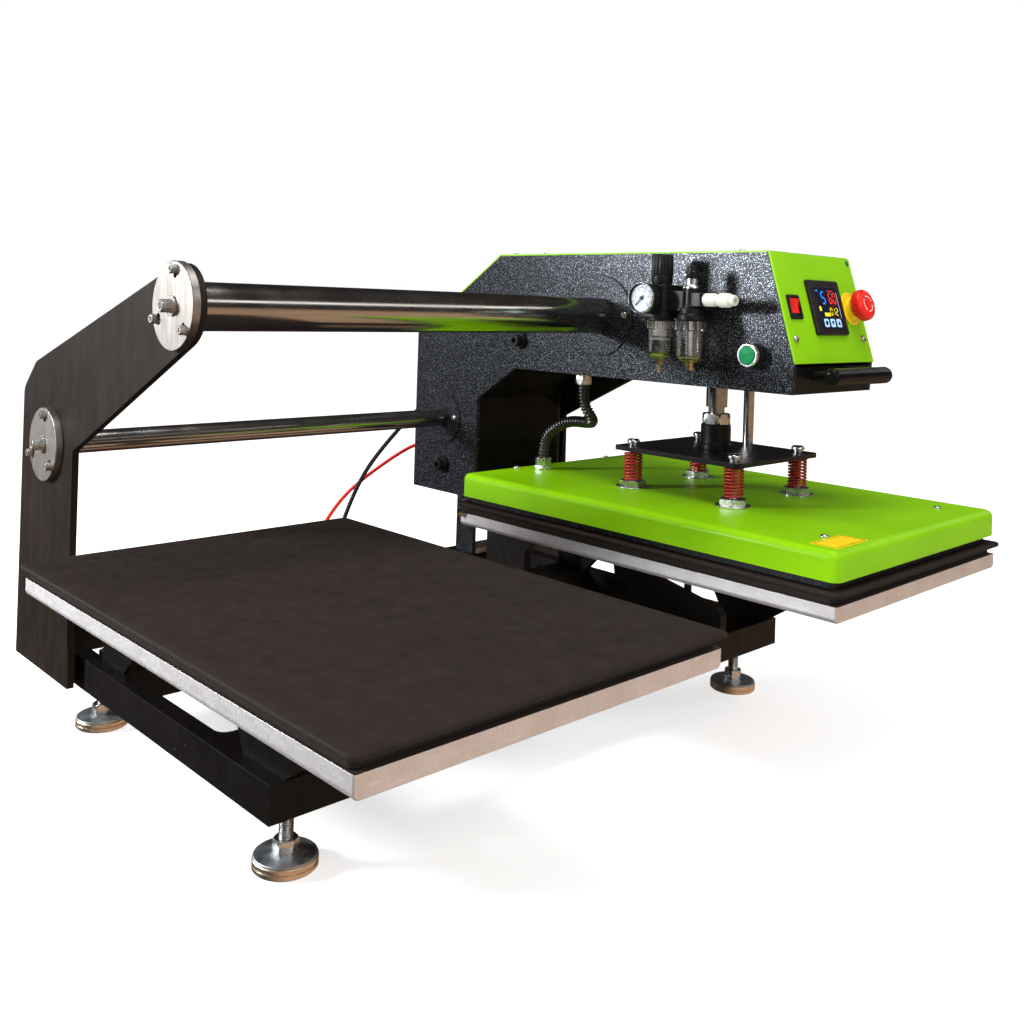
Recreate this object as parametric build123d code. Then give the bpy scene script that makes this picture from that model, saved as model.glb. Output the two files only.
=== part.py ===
from build123d import *
from math import cos, hypot, pi, radians, sin, sqrt
import os

# Dual station heat press. Millimetres, +Z up, X along the shafts, -Y towards the operator.
# The origin lies on the floor under the middle of the machine.

# Driving dimensions: platens and stations
PLATEN_WIDTH = 400
PLATEN_LENGTH = 600
STATION_SPACING = 602
PLATEN_Y = -128
SLAB_THICKNESS = 18
SLAB_BOTTOM = 210
FOAM_THICKNESS = 10
SHEET_THICKNESS = 5
PAD_INSET = 6
PRESS_GAP = 0.5
STATION_X = STATION_SPACING / 2
SLAB_TOP = SLAB_BOTTOM + SLAB_THICKNESS
FOAM_TOP = SLAB_TOP + FOAM_THICKNESS
SHEET_TOP = FOAM_TOP + SHEET_THICKNESS

# Base frame
BASE_BOTTOM = 64
BASE_TOP = 100
BASE_FRONT = -167
BASE_BACK = 434
BASE_HALF_WIDTH = 404
BASE_TUBE = 20
BASE_WALL = 3
BASE_CORNER = 12
DECK_BACK = -39
CROSSBEAM_Y = (178, 240)
BACK_BEAM_FRONT = 384
FOOT_X = 361
FOOT_FRONT_Y = -127
FOOT_BACK_Y = 298
FOOT_PLATE_INNER = 325
FOOT_PLATE_THICKNESS = 6
FOOT_RADIUS = 31
FOOT_STEM_RADIUS = 7
FOOT_DISC_HEIGHT = 14
FOOT_NUT_HEIGHT = 12
FOOT_NUT_WIDTH = 22

# Side plates and shafts
SIDE_PLATE_INNER = 412
SIDE_PLATE_THICKNESS = 8
SIDE_PLATE_BOTTOM = 66
UPPER_SHAFT_Y, UPPER_SHAFT_Z, UPPER_SHAFT_RADIUS = 5, 520, 25
LOWER_SHAFT_Y, LOWER_SHAFT_Z, LOWER_SHAFT_RADIUS = 342, 343, 14
SHAFT_SEAT = 0.05
DISC_RADIUS = 45
DISC_THICKNESS = 8
DISC_SCREW_CIRCLE = 32
SIDE_PLATE_OUTER = SIDE_PLATE_INNER + SIDE_PLATE_THICKNESS
BASE_INNER = BASE_HALF_WIDTH - BASE_TUBE

# Head carriage
HEAD_WIDTH = 190
HEAD_PLATE = 6
HEAD_BOTTOM = 434
HEAD_TOP = 606
HEAD_FRONT = -303
PANEL_BOTTOM_Y, PANEL_BOTTOM_Z = -305, 471
PANEL_TILT = 17
PANEL_TOP_Y = -263
HEAD_REAR = 416
COLUMN_FRONT = 261
COLUMN_BOTTOM = 222
LEG_BOTTOM = 134
LEG_BACK = 302
SHEET_METAL = 2
HEAD_LEFT = STATION_X - HEAD_WIDTH / 2
HEAD_RIGHT = STATION_X + HEAD_WIDTH / 2
INNER_LEFT = HEAD_LEFT + HEAD_PLATE
INNER_RIGHT = HEAD_RIGHT - HEAD_PLATE
FLANGE_THICKNESS = 3
STOP_LENGTH = 15.5
STOPS = ((166, 477), (339, 267))

# Ram and upper platen
SPRING_PLATE_BOTTOM = 336
SPRING_PLATE_TOP = 342
SPRING_PLATE_X = 190
SPRING_PLATE_Y = 206
COUPLING_TOP = 377
ROD_NUT_TOP = 391
ROD_SHOULDER = 400
ROD_RADIUS = 14.5
ROD_NECK_RADIUS = 11
GUIDE_RADIUS = 7.5
GUIDE_OFFSET = 78
GUIDE_TOP = 556
HEAT_BOTTOM = SHEET_TOP + PRESS_GAP
HEAT_TOP = 268
HEAT_INSET = 9
COVER_BOTTOM = 252.5
COVER_TOP = 285
COVER_ROUND = 9
SPRING_X = 75
SPRING_Y = 83
WASHER_THICKNESS = 1.5
SEAT_NUT_HEIGHT = 8
BOLT_RADIUS = 5
BOLT_SEAT = 5.05
BOLT_SLIDE = 5.4
BOLT_COLLAR = 6.8
BOLT_NECK = 4
SPRING_SEAT = COVER_TOP + WASHER_THICKNESS + SEAT_NUT_HEIGHT
SPRING_WIRE = 3
SPRING_MEAN_RADIUS = 11.5
SPRING_TURNS = 9

# Conduit between the arm and the upper platen
CONDUIT_X = 228
CONDUIT_TOP_Y = 54
CONDUIT_BOTTOM_Y = 132
CONDUIT_RADIUS = 8.4
CONDUIT_VALLEY = 7.4
CONDUIT_BORE = 6
CONDUIT_RIBS = 56
CONDUIT_TOP = 419
CONDUIT_BOTTOM = 303

# Supply lines
CABLE_RADIUS = 3.5
HOSE_RADIUS = 3
GLAND_X, CABLE_Z, HOSE_Z = 262, 352, 284
GLAND_END = 430
COIL_GAP = 0.9
CABLE_COIL = {"x": -28, "y": 500, "turns": 5.5, "middle": 38.5, "tail": 46}
HOSE_COIL = {"x": -172, "y": 523, "turns": 5.5, "middle": 33, "tail": 38}


def block(x0, x1, y0, y1, z0, z1):
    """A box given by its limits."""
    return Pos((x0 + x1) / 2, (y0 + y1) / 2, (z0 + z1) / 2) * Box(x1 - x0, y1 - y0, z1 - z0)


def bar_x(y, z, radius, x0, x1):
    """A round bar along X."""
    return Pos((x0 + x1) / 2, y, z) * Rot(0, 90, 0) * Cylinder(radius, x1 - x0)


def bar_y(x, z, radius, y0, y1):
    """A round bar along Y."""
    return Pos(x, (y0 + y1) / 2, z) * Rot(90, 0, 0) * Cylinder(radius, y1 - y0)


def bar_z(x, y, radius, z0, z1):
    """A round bar along Z."""
    return Pos(x, y, (z0 + z1) / 2) * Cylinder(radius, z1 - z0)


def hexagon_z(x, y, width, z0, z1, turn=0):
    """A hexagonal prism along Z, by its width across the flats."""
    outline = Pos(x, y, z0) * Rot(0, 0, turn) * RegularPolygon(width / sqrt(3), 6)
    return extrude(outline, z1 - z0)


def outline_yz(points):
    """A closed face in the YZ plane."""
    return make_face(Plane.YZ * Polyline(*points, close=True))


def slab_x(face, x0, x1):
    """A YZ face made solid between two X values."""
    return Pos(x0, 0, 0) * extrude(face, x1 - x0, dir=(1, 0, 0))


def bent_sheet(points, thickness):
    """The YZ outline of a folded sheet that lies to the right of a chain of points."""
    shifted = []
    for i, (y, z) in enumerate(points):
        sides = [(points[j], points[j + 1]) for j in (i - 1, i) if 0 <= j < len(points) - 1]
        normals = []
        for (y0, z0), (y1, z1) in sides:
            length = hypot(y1 - y0, z1 - z0)
            normals.append(((z1 - z0) / length, -(y1 - y0) / length))
        mean_y = sum(n[0] for n in normals) / len(normals)
        mean_z = sum(n[1] for n in normals) / len(normals)
        scale = thickness / (mean_y ** 2 + mean_z ** 2)
        shifted.append((y + mean_y * scale, z + mean_z * scale))
    return outline_yz(list(points) + shifted[::-1])


def tangent_point(point, centre, radius, side):
    """Where a line from a point touches a circle, on its +1 or -1 side."""
    dy, dz = point[0] - centre[0], point[1] - centre[1]
    distance = hypot(dy, dz)
    along = radius ** 2 / distance
    across = side * radius * sqrt(1 - (radius / distance) ** 2)
    uy, uz = dy / distance, dz / distance
    return centre[0] + along * uy - across * uz, centre[1] + along * uz + across * uy


def rounded_box(width, length, x, y, z0, z1, corner):
    """An upright block with rounded vertical edges."""
    outline = Pos(x, y, z0) * RectangleRounded(width, length, corner)
    return extrude(outline, z1 - z0)


def biarc_edges(place, heading, start, end, steps):
    """Pairs of tangent arcs along a curve that is given by its place and its heading."""
    edges = []
    for i in range(steps):
        t0 = start + (end - start) * i / steps
        t1 = start + (end - start) * (i + 1) / steps
        p0, p1 = Vector(*place(t0)), Vector(*place(t1))
        h0, h1 = heading(t0), heading(t1)
        chord = p1 - p0
        a = 2 * (h0.dot(h1) - 1)
        b = -2 * chord.dot(h0 + h1)
        c = chord.dot(chord)
        reach = -c / b if abs(a) < 1e-9 else (-b - sqrt(b * b - 4 * a * c)) / (2 * a)
        corner0, corner1 = p0 + h0 * reach, p1 - h1 * reach
        middle = (corner0 + corner1) * 0.5
        edges.append(Edge.make_tangent_arc(p0, h0, middle))
        edges.append(Edge.make_tangent_arc(middle, corner1 - corner0, p1))
    return edges


def heading_of(place, t):
    """The unit direction of a curve."""
    before, after = Vector(*place(t - 1e-4)), Vector(*place(t + 1e-4))
    return (after - before).normalized()


def round_sweep(path, radius):
    """A round tube along a path."""
    return sweep(Plane(origin=path @ 0, z_dir=path % 0) * Circle(radius), path=path)


def report_winding(name, tube, path, radius, turn_length):
    """Prints a wound tube's length, its volume against its path, and its least gap to itself."""
    count = 500
    points = [path @ (i / count) for i in range(count + 1)]
    skip = int(0.6 * turn_length / path.length * count)
    gap = min(
        (points[i] - points[j]).length
        for i in range(0, count + 1, 2)
        for j in range(i + skip, count + 1)
    ) - 2 * radius
    ratio = tube.volume / (pi * radius ** 2 * path.length)
    print(name, "length", round(path.length), "volume ratio", round(ratio, 4),
          "least gap to itself", round(gap, 2))


def soft_radii(points):
    """The arc radius at each inner point of a cord's route."""
    radii = []
    for before, here, after in zip(points, points[1:], points[2:]):
        run_in, run_out = Vector(*here) - Vector(*before), Vector(*after) - Vector(*here)
        turn = radians(run_in.get_angle(run_out))
        radii.append(0.45 * min(run_in.length, run_out.length) / (sin(turn / 2) / cos(turn / 2)))
    return radii


def cord_tube(name, points, radius):
    """A plain tube along a cord's route."""
    radii = soft_radii(points)
    path = FilletPolyline(*points, radius=radii)
    tube = round_sweep(path, radius)
    expected = pi * radius ** 2 * path.length
    print(name, "length", round(path.length), "least radius", round(min(radii), 1),
          "volume ratio", round(tube.volume / expected, 4))
    return tube


def both_sides(solid):
    """A solid and its mirror image across the middle of the machine."""
    return [solid, mirror(solid, about=Plane.YZ)]


# Base frame: beams that are open underneath, a deck, four foot plates, pads for the side plates

def beam(x0, x1, y0, y1):
    """A folded beam between the base's levels, open underneath."""
    outer = block(x0, x1, y0, y1, BASE_BOTTOM, BASE_TOP)
    return outer - block(x0 + BASE_WALL, x1 - BASE_WALL, y0 + BASE_WALL, y1 - BASE_WALL,
                         BASE_BOTTOM - 1, BASE_TOP - BASE_WALL)


def foot_plate(y0, y1, foot_y):
    """A plate in the left of the base that carries a foot."""
    z0 = BASE_BOTTOM + BASE_WALL
    plate = block(-BASE_INNER, -FOOT_PLATE_INNER, y0, y1, z0, z0 + FOOT_PLATE_THICKNESS)
    return plate - bar_z(-FOOT_X, foot_y, FOOT_STEM_RADIUS + SHAFT_SEAT, z0 - 1, z0 + 20)


def front_deck():
    """The sheet behind the front beam, with a slot over each front foot and its edge folded down."""
    top = block(-BASE_INNER, BASE_INNER, BASE_FRONT + BASE_TUBE, DECK_BACK,
                BASE_TOP - BASE_WALL, BASE_TOP)
    web = block(-BASE_INNER, BASE_INNER, DECK_BACK - BASE_WALL, DECK_BACK, BASE_BOTTOM, BASE_TOP)
    deck = top + web
    for slot in both_sides(block(-382, -345, -124, -77, BASE_TOP - 10, BASE_TOP + 1)):
        deck -= slot
    return deck


def deck_corner():
    """The filled corner between the deck and the left side beam."""
    x0, y0 = -BASE_INNER, DECK_BACK
    x1, y1 = x0 + BASE_CORNER, y0 + BASE_CORNER
    return (block(x0, x1, y0, y1, BASE_BOTTOM, BASE_TOP)
            - bar_z(x1, y1, BASE_CORNER - 0.5, BASE_BOTTOM - 1, BASE_TOP + 1))


def base_frame():
    half = BASE_HALF_WIDTH
    front_back = BASE_FRONT + BASE_TUBE
    pieces = both_sides(beam(-half, -BASE_INNER, BASE_FRONT, BASE_BACK))
    pieces.append(beam(-BASE_INNER, BASE_INNER, BASE_FRONT, front_back))
    pieces.append(front_deck())
    pieces += both_sides(deck_corner())
    pieces.append(beam(-BASE_INNER, BASE_INNER, *CROSSBEAM_Y))
    pieces.append(beam(-BASE_INNER, BASE_INNER, BACK_BEAM_FRONT, BASE_BACK))
    pieces += both_sides(foot_plate(front_back, -88, FOOT_FRONT_Y))
    pieces += both_sides(foot_plate(FOOT_BACK_Y - 38, FOOT_BACK_Y + 38, FOOT_BACK_Y))
    pieces += both_sides(block(-SIDE_PLATE_INNER, -half, 275, BASE_BACK, 70, BASE_TOP))
    return pieces


# Levelling feet

def levelling_foot(x, y):
    """A foot disc with its stem, and the lock nut on the stem."""
    disc = bar_z(x, y, FOOT_RADIUS, 0, FOOT_DISC_HEIGHT)
    disc = chamfer(disc.edges().filter_by(GeomType.CIRCLE).group_by(Axis.Z)[-1], 2)
    stem = bar_z(x, y, FOOT_STEM_RADIUS, FOOT_DISC_HEIGHT, 92)
    nut_top = FOOT_DISC_HEIGHT + FOOT_NUT_HEIGHT
    nut = hexagon_z(x, y, FOOT_NUT_WIDTH, FOOT_DISC_HEIGHT, nut_top)
    nut -= bar_z(x, y, FOOT_STEM_RADIUS, FOOT_DISC_HEIGHT, nut_top)
    return [disc + stem, nut]


# Side plates: a column at the back and an arm that slopes up to the upper shaft

SHAFT_CENTRE = (UPPER_SHAFT_Y, UPPER_SHAFT_Z)
ARM_END_RADIUS = 43
SHOULDER = (395, 441)
INNER_CORNER = (268, 343)


def side_plate():
    """The right plate of the pair."""
    outline = outline_yz([
        (BASE_BACK, SIDE_PLATE_BOTTOM), (BASE_BACK, 405), SHOULDER,
        tangent_point(SHOULDER, SHAFT_CENTRE, ARM_END_RADIUS, 1),
        tangent_point(INNER_CORNER, SHAFT_CENTRE, ARM_END_RADIUS, -1),
        INNER_CORNER, (266, 122), (261, 108), (261, SIDE_PLATE_BOTTOM),
    ])
    corners = outline.vertices()
    outline = fillet([v for v in corners if v.Y > 390 and v.Z > 400], 18)
    outline += Pos(0, *SHAFT_CENTRE) * (Plane.YZ * Circle(ARM_END_RADIUS))
    plate = slab_x(outline, SIDE_PLATE_INNER, SIDE_PLATE_OUTER)
    for y, z, radius in (
        (UPPER_SHAFT_Y, UPPER_SHAFT_Z, UPPER_SHAFT_RADIUS),
        (LOWER_SHAFT_Y, LOWER_SHAFT_Z, LOWER_SHAFT_RADIUS),
    ):
        plate -= bar_x(y, z, radius + SHAFT_SEAT, SIDE_PLATE_INNER - 1, SIDE_PLATE_OUTER + 1)
        for dy, dz in disc_screw_places():
            plate -= bar_x(y + dy, z + dz, 4.05, SIDE_PLATE_INNER - 1, SIDE_PLATE_OUTER + 1)
    return plate


def disc_screw_places():
    """The three screws of a shaft end disc, from its centre."""
    return [
        (DISC_SCREW_CIRCLE * cos(radians(a)), DISC_SCREW_CIRCLE * sin(radians(a)))
        for a in (98, 218, 338)
    ]


SHAFT_LINES = ((UPPER_SHAFT_Y, UPPER_SHAFT_Z), (LOWER_SHAFT_Y, LOWER_SHAFT_Z))


def shaft(y, z, radius):
    """A shaft between the end discs, tapped at both ends."""
    end = SIDE_PLATE_OUTER
    piece = bar_x(y, z, radius, -end, end)
    piece = chamfer(piece.edges().filter_by(GeomType.CIRCLE), 1)
    for hole in both_sides(bar_x(y, z, 6, end - 35, end + 1)):
        piece -= hole
    return piece


def rail_end_discs():
    """The four discs on the outer faces of the side plates."""
    discs = []
    outer = SIDE_PLATE_OUTER + DISC_THICKNESS
    for y, z in SHAFT_LINES:
        disc = bar_x(y, z, DISC_RADIUS, SIDE_PLATE_OUTER, outer)
        disc = chamfer(disc.edges().filter_by(GeomType.CIRCLE).group_by(Axis.X)[-1], 0.8)
        disc -= bar_x(y, z, 6.05, SIDE_PLATE_OUTER - 1, outer + 1)
        for dy, dz in disc_screw_places():
            disc -= bar_x(y + dy, z + dz, 4.05, SIDE_PLATE_OUTER - 1, outer + 1)
        discs += both_sides(disc)
    return discs


def socket_screw(y, z, x_seat, head_radius, head_length, shank_radius, shank_length):
    """A socket head screw that points in -X from its seat."""
    screw = bar_x(y, z, head_radius, x_seat, x_seat + head_length)
    screw = chamfer(screw.edges().filter_by(GeomType.CIRCLE).group_by(Axis.X)[-1], 0.8)
    screw += bar_x(y, z, shank_radius, x_seat - shank_length, x_seat)
    socket = extrude(
        Pos(x_seat + head_length, y, z) * (Plane.YZ * RegularPolygon(head_radius * 0.55, 6)),
        -head_length * 0.6, dir=(1, 0, 0))
    return screw - socket


def rail_end_screws():
    """The centre bolts with their washers, and the small screws of the end discs."""
    pieces = []
    seat = SIDE_PLATE_OUTER + DISC_THICKNESS
    for y, z in SHAFT_LINES:
        washer = bar_x(y, z, 15, seat, seat + 2.5) - bar_x(y, z, 6, seat - 1, seat + 4)
        pieces += both_sides(washer)
        pieces += both_sides(socket_screw(y, z, seat + 2.5, 10, 13, 6, 40))
        for dy, dz in disc_screw_places():
            pieces += both_sides(socket_screw(y + dy, z + dz, seat, 6.5, 8, 4, 15))
    return pieces


# Lower platens with their pads and supports

def lower_platen(x):
    """An aluminium slab with rounded lower side edges."""
    slab = block(x - PLATEN_WIDTH / 2, x + PLATEN_WIDTH / 2,
                 PLATEN_Y - PLATEN_LENGTH / 2, PLATEN_Y + PLATEN_LENGTH / 2, SLAB_BOTTOM, SLAB_TOP)
    slab = fillet(slab.edges().filter_by(Axis.Y).group_by(Axis.Z)[0], 6)
    return fillet(slab.edges().filter_by(Axis.Z), 2)


def foam_pad(x):
    return rounded_box(PLATEN_WIDTH - 2 * PAD_INSET, PLATEN_LENGTH - 2 * PAD_INSET,
                       x, PLATEN_Y, SLAB_TOP, FOAM_TOP, 6)


def top_sheet(x):
    sheet = rounded_box(PLATEN_WIDTH + 2 * PAD_INSET, PLATEN_LENGTH + 2 * PAD_INSET,
                        x, PLATEN_Y, FOAM_TOP, SHEET_TOP, 9)
    return fillet(sheet.edges().group_by(Axis.Z)[-1], 1.5)


SUPPORT_OFFSET = 82
SUPPORT_WIDTH = 12
POST_FRONT_Y, POST_BACK_Y = -150, 150


def platen_supports():
    """Two arched bars under each slab and the levelling posts that stand on them."""
    slope_front, slope_back = (-199, 154), (53, 204)
    rise = (slope_back[1] - slope_front[1]) / (slope_back[0] - slope_front[0])
    outline = outline_yz([
        (-165, BASE_TOP), (-207, 128), (-207, 146), slope_front, slope_back, (236, 204),
        (236, BASE_TOP), (178, BASE_TOP), (150, 128), (150, 160), (134, 176), (-26, 176),
        (-29, 161), (-71, 138), (-92, BASE_TOP),
    ])
    front_height = slope_front[1] + rise * (POST_FRONT_Y - slope_front[0])
    pieces = []
    for station in (-STATION_X, STATION_X):
        for side in (-1, 1):
            x = station + side * SUPPORT_OFFSET
            pieces.append(slab_x(outline, x - SUPPORT_WIDTH / 2, x + SUPPORT_WIDTH / 2))
            foot = slab_x(outline, x - 20, x + 20)
            post = bar_z(x, POST_FRONT_Y, 5, front_height - 10, SLAB_BOTTOM) - foot
            pieces.append(post)
            pieces.append(bar_z(x, POST_BACK_Y, 8, 204, SLAB_BOTTOM))
    return pieces


# Head carriage: two plates, their ties, and the sheets that close the head

PANEL_TOP_Z = HEAD_TOP
HEAD_PROFILE = [
    (HEAD_FRONT, HEAD_BOTTOM), (PANEL_BOTTOM_Y, PANEL_BOTTOM_Z), (PANEL_TOP_Y, PANEL_TOP_Z),
    (217, HEAD_TOP), (HEAD_REAR, 477), (HEAD_REAR, COLUMN_BOTTOM), (LEG_BACK, COLUMN_BOTTOM),
    (LEG_BACK, LEG_BOTTOM), (COLUMN_FRONT, LEG_BOTTOM), (COLUMN_FRONT, 381), (177, HEAD_BOTTOM),
]
UPPER_SLEEVE = 38
LOWER_SLEEVE = 27
SPACER_BARS = ((-235, 588), (190, 588), (395, 250), (285, 240))
SPACER_RADIUS = 8


def carriage_plate(x0):
    outline = outline_yz(HEAD_PROFILE)
    plate = slab_x(outline, x0, x0 + HEAD_PLATE)
    plate -= bar_x(UPPER_SHAFT_Y, UPPER_SHAFT_Z, UPPER_SLEEVE + SHAFT_SEAT, x0 - 1, x0 + 10)
    plate -= bar_x(LOWER_SHAFT_Y, LOWER_SHAFT_Z, LOWER_SLEEVE + SHAFT_SEAT, x0 - 1, x0 + 10)
    for y, z in STOPS:
        plate -= bar_x(y, z, 6.05, x0 - 1, x0 + 10)
    return plate


def carriage_spacers():
    """Round bars between the plates, the cylinder's plate and the tie between the legs."""
    pieces = [bar_x(y, z, SPACER_RADIUS, INNER_LEFT, INNER_RIGHT) for y, z in SPACER_BARS]
    seat = block(INNER_LEFT, INNER_RIGHT, PLATEN_Y - 75, PLATEN_Y + 75,
                 HEAD_BOTTOM + SHEET_METAL, HEAD_BOTTOM + SHEET_METAL + 10)
    seat -= bar_z(STATION_X, PLATEN_Y, 17, HEAD_BOTTOM, HEAD_BOTTOM + 20)
    seat -= bar_z(STATION_X + GUIDE_OFFSET, PLATEN_Y, GUIDE_RADIUS + SHAFT_SEAT,
                  HEAD_BOTTOM, HEAD_BOTTOM + 20)
    tie = block(INNER_LEFT, INNER_RIGHT, COLUMN_FRONT + 1, LEG_BACK - 1, LEG_BOTTOM, LEG_BOTTOM + 8)
    return pieces + [seat, tie]


def head_cover():
    """The green sheet over the top and the back slope."""
    outline = bent_sheet([HEAD_PROFILE[4], HEAD_PROFILE[3], HEAD_PROFILE[2]], SHEET_METAL)
    return slab_x(outline, HEAD_LEFT, HEAD_RIGHT)


def rear_panel():
    """The black sheet that closes the back of the column."""
    return block(INNER_LEFT, INNER_RIGHT, HEAD_REAR - SHEET_METAL, HEAD_REAR, COLUMN_BOTTOM, 476)


def head_underside():
    """The black sheet under the arm, folded up at its front and down the column."""
    chain = [
        (HEAD_FRONT - 1.8, PANEL_BOTTOM_Z - 4), (HEAD_FRONT, HEAD_BOTTOM), (177, HEAD_BOTTOM),
        (COLUMN_FRONT, 381), (COLUMN_FRONT, COLUMN_BOTTOM),
    ]
    sheet = slab_x(bent_sheet(chain[::-1], SHEET_METAL), INNER_LEFT, INNER_RIGHT)
    for x, y, radius in (
        (STATION_X, PLATEN_Y, 18), (STATION_X + GUIDE_OFFSET, PLATEN_Y, 9),
        (CONDUIT_X, CONDUIT_TOP_Y, 6.05),
    ):
        sheet -= bar_z(x, y, radius, HEAD_BOTTOM - 5, HEAD_BOTTOM + 5)
    return sheet


def bearings(y, z, flange_radius, sleeve_radius, bore_radius):
    """A flanged sleeve in each carriage plate, seen from the shaft."""
    pieces = []
    for face, inward in ((HEAD_LEFT, 1), (HEAD_RIGHT, -1)):
        edge, depth = face - inward * FLANGE_THICKNESS, face + inward * 70
        flange = bar_x(y, z, flange_radius, min(face, edge), max(face, edge))
        outer_rim = flange.edges().filter_by(GeomType.CIRCLE).group_by(Axis.X)
        flange = chamfer(outer_rim[0 if inward > 0 else -1], 1)
        sleeve = bar_x(y, z, sleeve_radius, min(face, depth), max(face, depth))
        bush = flange + sleeve
        pieces.append(bush - bar_x(y, z, bore_radius, HEAD_LEFT - 20, HEAD_RIGHT + 20))
    return pieces


def carriage_stop_bolts():
    """The bolts that meet the side plates at both ends of the travel."""
    pieces = []
    for y, z in STOPS:
        for face, outward in ((HEAD_LEFT, -1), (HEAD_RIGHT, 1)):
            collar = sorted((face, face + outward * 5))
            head = sorted((face + outward * 5, face + outward * STOP_LENGTH))
            shank = sorted((face, face - outward * 14))
            bolt = bar_x(y, z, 13, *collar) + bar_x(y, z, 9, *head) + bar_x(y, z, 6, *shank)
            pieces.append(bolt)
    return pieces


# Control panel and what is on it, in the panel's own plane

PANEL_PLANE = Plane(origin=(STATION_X, PANEL_BOTTOM_Y, PANEL_BOTTOM_Z), x_dir=(1, 0, 0),
                    z_dir=(0, -cos(radians(PANEL_TILT)), sin(radians(PANEL_TILT))))
PANEL_LENGTH = hypot(PANEL_TOP_Y - PANEL_BOTTOM_Y, PANEL_TOP_Z - PANEL_BOTTOM_Z)
ROCKER_U, PANEL_V = -69, 71
CONTROLLER_U = 5
ESTOP_U = 66
ROCKER_OPENING = (20, 24)
ROCKER_BEZEL = (27, 31)
ROCKER_KEY = 19.2
ROCKER_RADIUS = 11.3
ROCKER_TILT = 10
CONTROLLER_FRONT = (76, 72)
CONTROLLER_BODY = (66, 66)


def on_panel(u, v, height0, height1, sketch):
    """A solid that stands on the panel, from its outline and its two heights."""
    base = PANEL_PLANE * Pos(u, v, height0)
    return extrude(base * sketch, height1 - height0, dir=PANEL_PLANE.z_dir)


def control_panel():
    sheet = on_panel(0, PANEL_LENGTH / 2, 0.3, SHEET_METAL + 0.3, Rectangle(HEAD_WIDTH, PANEL_LENGTH))
    sheet -= on_panel(ROCKER_U, PANEL_V, -1, 4, Rectangle(*[s + 3 for s in ROCKER_OPENING]))
    sheet -= on_panel(CONTROLLER_U, PANEL_V, -1, 4, Rectangle(*[s + 0.5 for s in CONTROLLER_BODY]))
    sheet -= on_panel(ESTOP_U, PANEL_V, -1, 4, Circle(11.2))
    return sheet


PANEL_FACE = SHEET_METAL + 0.3


def rocker_bezel():
    """The frame and the housing of the mains switch."""
    bezel = on_panel(ROCKER_U, PANEL_V, PANEL_FACE, PANEL_FACE + 2.5, Rectangle(*ROCKER_BEZEL))
    bezel += on_panel(ROCKER_U, PANEL_V, -14, PANEL_FACE, Rectangle(*[s + 2.6 for s in ROCKER_OPENING]))
    opening = on_panel(ROCKER_U, PANEL_V, -12, PANEL_FACE + 5, Rectangle(*ROCKER_OPENING))
    return bezel - opening


def power_rocker():
    """The key of the mains switch: round ends about its pivot, two sloping faces, tilted."""
    pivot = Plane(
        origin=PANEL_PLANE.from_local_coords((ROCKER_U - ROCKER_KEY / 2, PANEL_V, PANEL_FACE - 1)),
        x_dir=PANEL_PLANE.y_dir, z_dir=PANEL_PLANE.x_dir)

    def rim(angle):
        turn = radians(angle + ROCKER_TILT)
        return ROCKER_RADIUS * cos(turn), ROCKER_RADIUS * sin(turn)

    valley = (-1.4 * sin(radians(ROCKER_TILT)), 1.4 * cos(radians(ROCKER_TILT)))
    outline = Polyline(rim(14), valley, rim(166)) + ThreePointArc(rim(166), rim(180), rim(200))
    outline += Line(rim(200), rim(340))
    outline += ThreePointArc(rim(340), rim(0), rim(14))
    return extrude(pivot * make_face(outline), ROCKER_KEY, dir=(1, 0, 0))


def temperature_controller():
    front = on_panel(CONTROLLER_U, PANEL_V, PANEL_FACE, PANEL_FACE + 4,
                     RectangleRounded(*CONTROLLER_FRONT, 3))
    front = chamfer(front.faces().sort_by(lambda f: -f.center().Y)[0].edges(), 1)
    return front + on_panel(CONTROLLER_U, PANEL_V, -40, PANEL_FACE, Rectangle(*CONTROLLER_BODY))


def estop_base():
    """The coloured ring and black collar of the emergency stop."""
    ring = on_panel(ESTOP_U, PANEL_V, PANEL_FACE, PANEL_FACE + 2.5, Circle(22))
    collar = on_panel(ESTOP_U, PANEL_V, PANEL_FACE + 2.5, PANEL_FACE + 7, Circle(14))
    barrel = on_panel(ESTOP_U, PANEL_V, -30, PANEL_FACE, Circle(11))
    return ring + collar + barrel - on_panel(ESTOP_U, PANEL_V, -26, PANEL_FACE + 9, Circle(7.3))


def estop_stem():
    return on_panel(ESTOP_U, PANEL_V, -20, PANEL_FACE + 15, Circle(7))


def estop_mushroom():
    """The red head: a domed cap on a short collar, hollow over the stem."""
    cap = on_panel(ESTOP_U, PANEL_V, PANEL_FACE + 16, PANEL_FACE + 27, Circle(19))
    along = PANEL_PLANE.z_dir
    rims = cap.edges().filter_by(GeomType.CIRCLE).sort_by(lambda e: e.center().dot(along))
    cap = fillet(rims[-1], 7)
    cap += on_panel(ESTOP_U, PANEL_V, PANEL_FACE + 12, PANEL_FACE + 16, Circle(12))
    return cap - on_panel(ESTOP_U, PANEL_V, PANEL_FACE + 8, PANEL_FACE + 15.05, Circle(7.05))


# Start buttons, one on each side of the arm

BUTTON_Y, BUTTON_Z = -250, 479
BUTTON_OUT = 18
BUTTON_TRAVEL = 4


def start_button_bezels():
    pieces = []
    for face, outward in ((HEAD_LEFT, -1), (HEAD_RIGHT, 1)):
        ends = sorted((face, face + outward * BUTTON_OUT))
        bezel = bar_x(BUTTON_Y, BUTTON_Z, 15, *ends)
        bore = sorted((face + outward * 4, face + outward * 30))
        pieces.append(bezel - bar_x(BUTTON_Y, BUTTON_Z, 11.3, *bore))
    return pieces


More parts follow.
